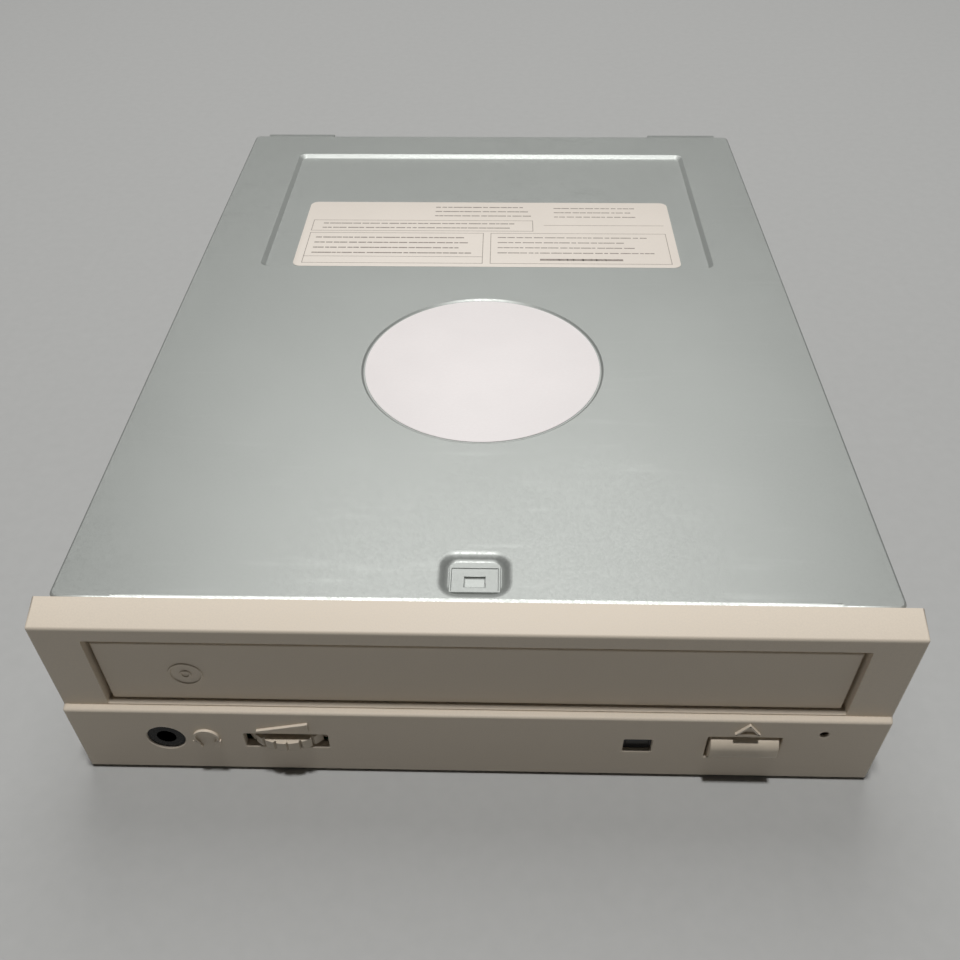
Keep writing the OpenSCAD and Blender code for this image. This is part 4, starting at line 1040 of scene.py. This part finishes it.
class DRIVE_OT_front_controls(bpy.types.Operator):
    """Tray front, headphone jack, volume wheel, status window and eject button"""
    bl_idname = "drive.front_controls"
    bl_label = "Front controls"

    def execute(self, context):
        self.tray_front()
        self.volume_wheel()
        self.eject_button()
        self.jack()
        self.window()
        return {"FINISHED"}

    def window(self):
        """A smoked lens with a stepped rim, just under the bezel's face."""
        low, high = node_box("status_window")
        chin = node_box("bezel")[0].y
        bm = bmesh.new()
        lens_low = Vector((low.x + 0.8, chin + 0.8, low.z + 0.9))
        block(bm, lens_low, high - Vector((0.8, 0.8, 0.9)))
        block(bm, (low.x, high.y - 0.8, low.z), high)
        front = min((f for f in bm.faces if f.normal.y < -0.9),
                    key=lambda f: f.calc_center_median().y)
        press(bm, front, (0.4, 0), (0.12, 0.15))
        lens = finish_piece("status_window_lens", bm, "chassis", smoked_acrylic(),
                            ["status_window"])
        add_edge_radius(lens, 0.08, 2)

    def tray_front(self):
        """A plate with rounded edges, a thin flange behind it and a plain double ring."""
        low, high = node_box("tray_front")
        bm = bmesh.new()
        flange = 0.6
        block(bm, low, high - Vector((0, flange, 1.15)))
        edges = sharp_edges(bm, 30, lambda a, b: a.y < low.y + 0.5 or b.y < low.y + 0.5)
        bevel_edges(bm, edges, 0.35, 3)
        block(bm, (low.x - 0.5, high.y - flange - 0.05, low.z + 0.2),
              (high.x + 0.5, high.y, high.z + 0.3))
        plastic = textured_abs("tray_front_abs", colour("bezel"), 0.6)
        finish_piece("tray_front_moulded", bm, "tray_unit", plastic, ["tray_front"],
                     50, panels=True)
        bm = bmesh.new()
        for radius in (3.1, 1.1):
            ring = outline_circle(bm, turned(FRONT, -50.2, low.y + 0.05, 27.3), radius, 64)
            press(bm, ring, (0.12, -0.25), (0.3, 0), (0.12, 0.25))
            pierce(bm, ring)
        finish_piece("tray_disc_mark", bm, "tray_unit", plastic, ())

    def volume_wheel(self):
        """A thumbwheel with narrow notches round its rim."""
        low, high = node_box("volume_wheel")
        centre = (low + high) / 2
        notches = sizes().wheel_notches
        radius = (high.x - low.x) / 2
        bm = bmesh.new()
        base = low.z - 0.5
        face = outline_circle(bm, turned(TOP, centre.x, centre.y, base), radius, notches * 12)
        for v in face.verts:
            arm = v.co - Vector((centre.x, centre.y, base)) * MM
            pitch_share = (math.degrees(math.atan2(arm.y, arm.x)) / (360 / notches)) % 1
            if pitch_share > 0.9:
                v.co -= arm.normalized() * 0.45 * MM
        grown = bmesh.ops.extrude_face_region(bm, geom=[face], use_keep_orig=True)
        verts = [g for g in grown["geom"] if isinstance(g, bmesh.types.BMVert)]
        bmesh.ops.translate(bm, verts=verts, vec=(0, 0, (high.z - base) * MM))
        bmesh.ops.recalc_face_normals(bm, faces=bm.faces)
        plastic = moulded_plastic("smooth_beige_abs", colour("button"), 0.42)
        wheel = finish_piece("volume_wheel_moulded", bm, "thumbwheel", plastic,
                             ["volume_wheel"], 25)
        add_edge_radius(wheel, 0.12, 2, 60)

    def eject_button(self):
        """A bar with a rounded front and a shallow thumb notch in its top edge."""
        low, high = node_box("eject_button")
        plastic = moulded_plastic("button_abs", colour("button"), 0.42)
        mid = (low.x + high.x) / 2
        half, bottom, top, front = 6.15, 7.6, 13.4, low.y
        bm = bmesh.new()
        block(bm, (mid - half, front, bottom), (mid + half, -3.95, top))
        for z, radius in ((top, 2.3), (bottom, 2.0)):
            rounded = sharp_edges(bm, 30, lambda a, b: max(a.y, b.y) < front + 0.01
                                  and abs(a.z - z) < 0.01 and abs(b.z - z) < 0.01)
            bevel_edges(bm, rounded, radius, 8)
        ends = sharp_edges(bm, 60, lambda a, b: abs(a.x - b.x) < 0.01 and max(a.y, b.y) < -4)
        bevel_edges(bm, ends, 0.45, 3)
        for x in (-2.3, -2.0, 2.0, 2.3):
            cut_all(bm, ((mid + x) * MM, 0, 0), (1, 0, 0))
        for v in bm.verts:
            if abs(v.co.x / MM - mid) < 2.05 and v.co.z > (top - 0.5) * MM:
                v.co.z -= 0.1 * MM
        finish_piece("eject_button_moulded", bm, "button", plastic, ["eject_button"],
                     40)
        bm = bmesh.new()
        block(bm, (low.x, -5.05, 7.4), (high.x, -4.15, high.z))
        block(bm, (mid - 1.5, -4.2, 9), (mid + 1.5, high.y, 12))
        flange = finish_piece("eject_button_stem", bm, "button", plastic, ())
        add_edge_radius(flange, 0.1, 2)

    def jack(self):
        """A black socket: a rim, a dished face and a deep hole."""
        front = node_box("headphone_jack")[0].y + 0.1
        centre = mount_point("headphone_jack")
        bm = bmesh.new()
        face = outline_circle(bm, turned(FRONT, centre.x, front, centre.z), 3.38, 64)
        rim = list(face.edges)
        press(bm, face, (0.1, -0.08), (0.2, 0.0), (0.5, 0.9), (0.7, 1.6), (0.06, 0.3), (0.01, 10))
        grown = bmesh.ops.extrude_edge_only(bm, edges=rim)
        verts = [g for g in grown["geom"] if isinstance(g, bmesh.types.BMVert)]
        bmesh.ops.translate(bm, verts=verts, vec=(0, 3 * MM, 0))
        black = moulded_plastic("black_socket_plastic", linear("#040404"), 0.25)
        shader = black.node_tree.nodes["Principled BSDF"]
        shader.inputs["Specular IOR Level"].default_value = 0.2
        finish_piece("headphone_socket", bm, "chassis", black, (), 40)
        dress("headphone_jack", black)


class DRIVE_OT_inside(bpy.types.Operator):
    """Materials and rounded edges of the tray, mechanism, boards and connectors"""
    bl_idname = "drive.inside"
    bl_label = "Inside parts"

    def execute(self, context):
        black = moulded_plastic("black_moulding", linear("#1D1D1F"), 0.5)
        tray_plastic = textured_abs("tray_plastic", linear("#232326"), 0.5, 0.35, "#3A3A3C")
        acetal = moulded_plastic("natural_acetal", linear("#E4E1D6"), 0.35)
        nylon = moulded_plastic("natural_nylon", linear("#E3DFD0"), 0.4)
        steel = plated_steel("plated_steel_parts", linear("#B4B8B8"), 0.36, (1, 0.3, 1))
        cast = plated_steel("die_cast_metal", linear("#8F9294"), 0.5)
        ground = turned_metal("ground_steel", linear("#C8CACC"), 0.18, (6, 1, 6))
        brass = turned_metal("turned_brass", linear("#C9A85A"), 0.28)
        tin = turned_metal("tin_plate", linear("#C6C6C2"), 0.32)
        rubber = vulcanised_rubber()
        board = solder_mask()
        film = moulded_plastic("insulating_film", linear("#141416"), 0.3)
        ferrite = plated_steel("plated_magnet", linear("#77797C"), 0.42)
        epoxy = moulded_plastic("moulded_epoxy", linear("#17171A"), 0.6)

        for node, radius in (("tray", 0.25), ("loader_frame", 0.2)):
            softened(node, radius, tray_plastic if node == "tray" else black)
        for node, radius, material in (("clamp_bridge", 0.12, steel),
                                       ("ide_connector", 0.12, black),
                                       ("power_connector", 0.2, nylon),
                                       ("audio_connectors", 0.12, nylon),
                                       ("board_chips", 0.1, epoxy), ("front_cable", 0.03, nylon),
                                       ("jumper_cap", 0.1, film), ("eject_switch", 0.1, black),
                                       ("cam_slider", 0.1, acetal), ("pickup_body", 0.2, cast)):
            softened(node, radius, material)
        finishes = {
            black: ["jumper_block", "rod_clips", "turntable", "clamper", "lens_holder"],
            acetal: ["pulley_gear", "drive_gear", "sled_gear", "sled_rack", "centring_cone",
                     "switch_plunger"],
            steel: ["traverse_base", "spindle_motor", "loading_motor", "sled_motor", "pickup_cover",
                    "clamper_yoke", "volume_pot", "bridge_screws", "frame_screws", "board_screws"],
            ground: ["guide_rods", "spindle_shaft"],
            brass: ["ide_pins", "motor_pulley", "sled_pinion"],
            tin: ["power_pins", "audio_pins", "capacitors"],
            rubber: ["drive_belt", "turntable_mat"],
            board: ["main_board", "front_board"],
            film: ["insulator_sheet"],
            ferrite: ["pickup_magnets"],
            clear_lens(): ["objective_lens"],
            tinted_epoxy(): ["status_led"],
        }
        for material, nodes in finishes.items():
            for node in nodes:
                dress(node, material)
        return {"FINISHED"}


class DRIVE_PT_panel(bpy.types.Panel):
    bl_idname = "DRIVE_PT_panel"
    bl_label = "Optical drive"
    bl_space_type = "VIEW_3D"
    bl_region_type = "UI"
    bl_category = "Drive"

    def draw(self, context):
        for group in (context.scene.drive_sizes, context.scene.drive_colours):
            for name in group.__annotations__:
                self.layout.prop(group, name)
        for operator in OPERATORS:
            self.layout.operator(operator.bl_idname)


OPERATORS = (DRIVE_OT_stage, DRIVE_OT_cover, DRIVE_OT_case, DRIVE_OT_bezel, DRIVE_OT_labels,
             DRIVE_OT_front_controls, DRIVE_OT_inside)
CLASSES = (DriveSizes, DriveColours, *OPERATORS, DRIVE_PT_panel)


def register():
    for cls in CLASSES:
        bpy.utils.register_class(cls)
    bpy.types.Scene.drive_sizes = PointerProperty(type=DriveSizes)
    bpy.types.Scene.drive_colours = PointerProperty(type=DriveColours)


def unregister():
    del bpy.types.Scene.drive_colours
    del bpy.types.Scene.drive_sizes
    for cls in reversed(CLASSES):
        bpy.utils.unregister_class(cls)


def main():
    register()
    bpy.ops.drive.stage()
    bpy.ops.drive.cover()
    bpy.ops.drive.case()
    bpy.ops.drive.bezel()
    bpy.ops.drive.labels()
    bpy.ops.drive.front_controls()
    bpy.ops.drive.inside()
    bpy.context.view_layer.update()


if __name__ == "__main__":
    main()
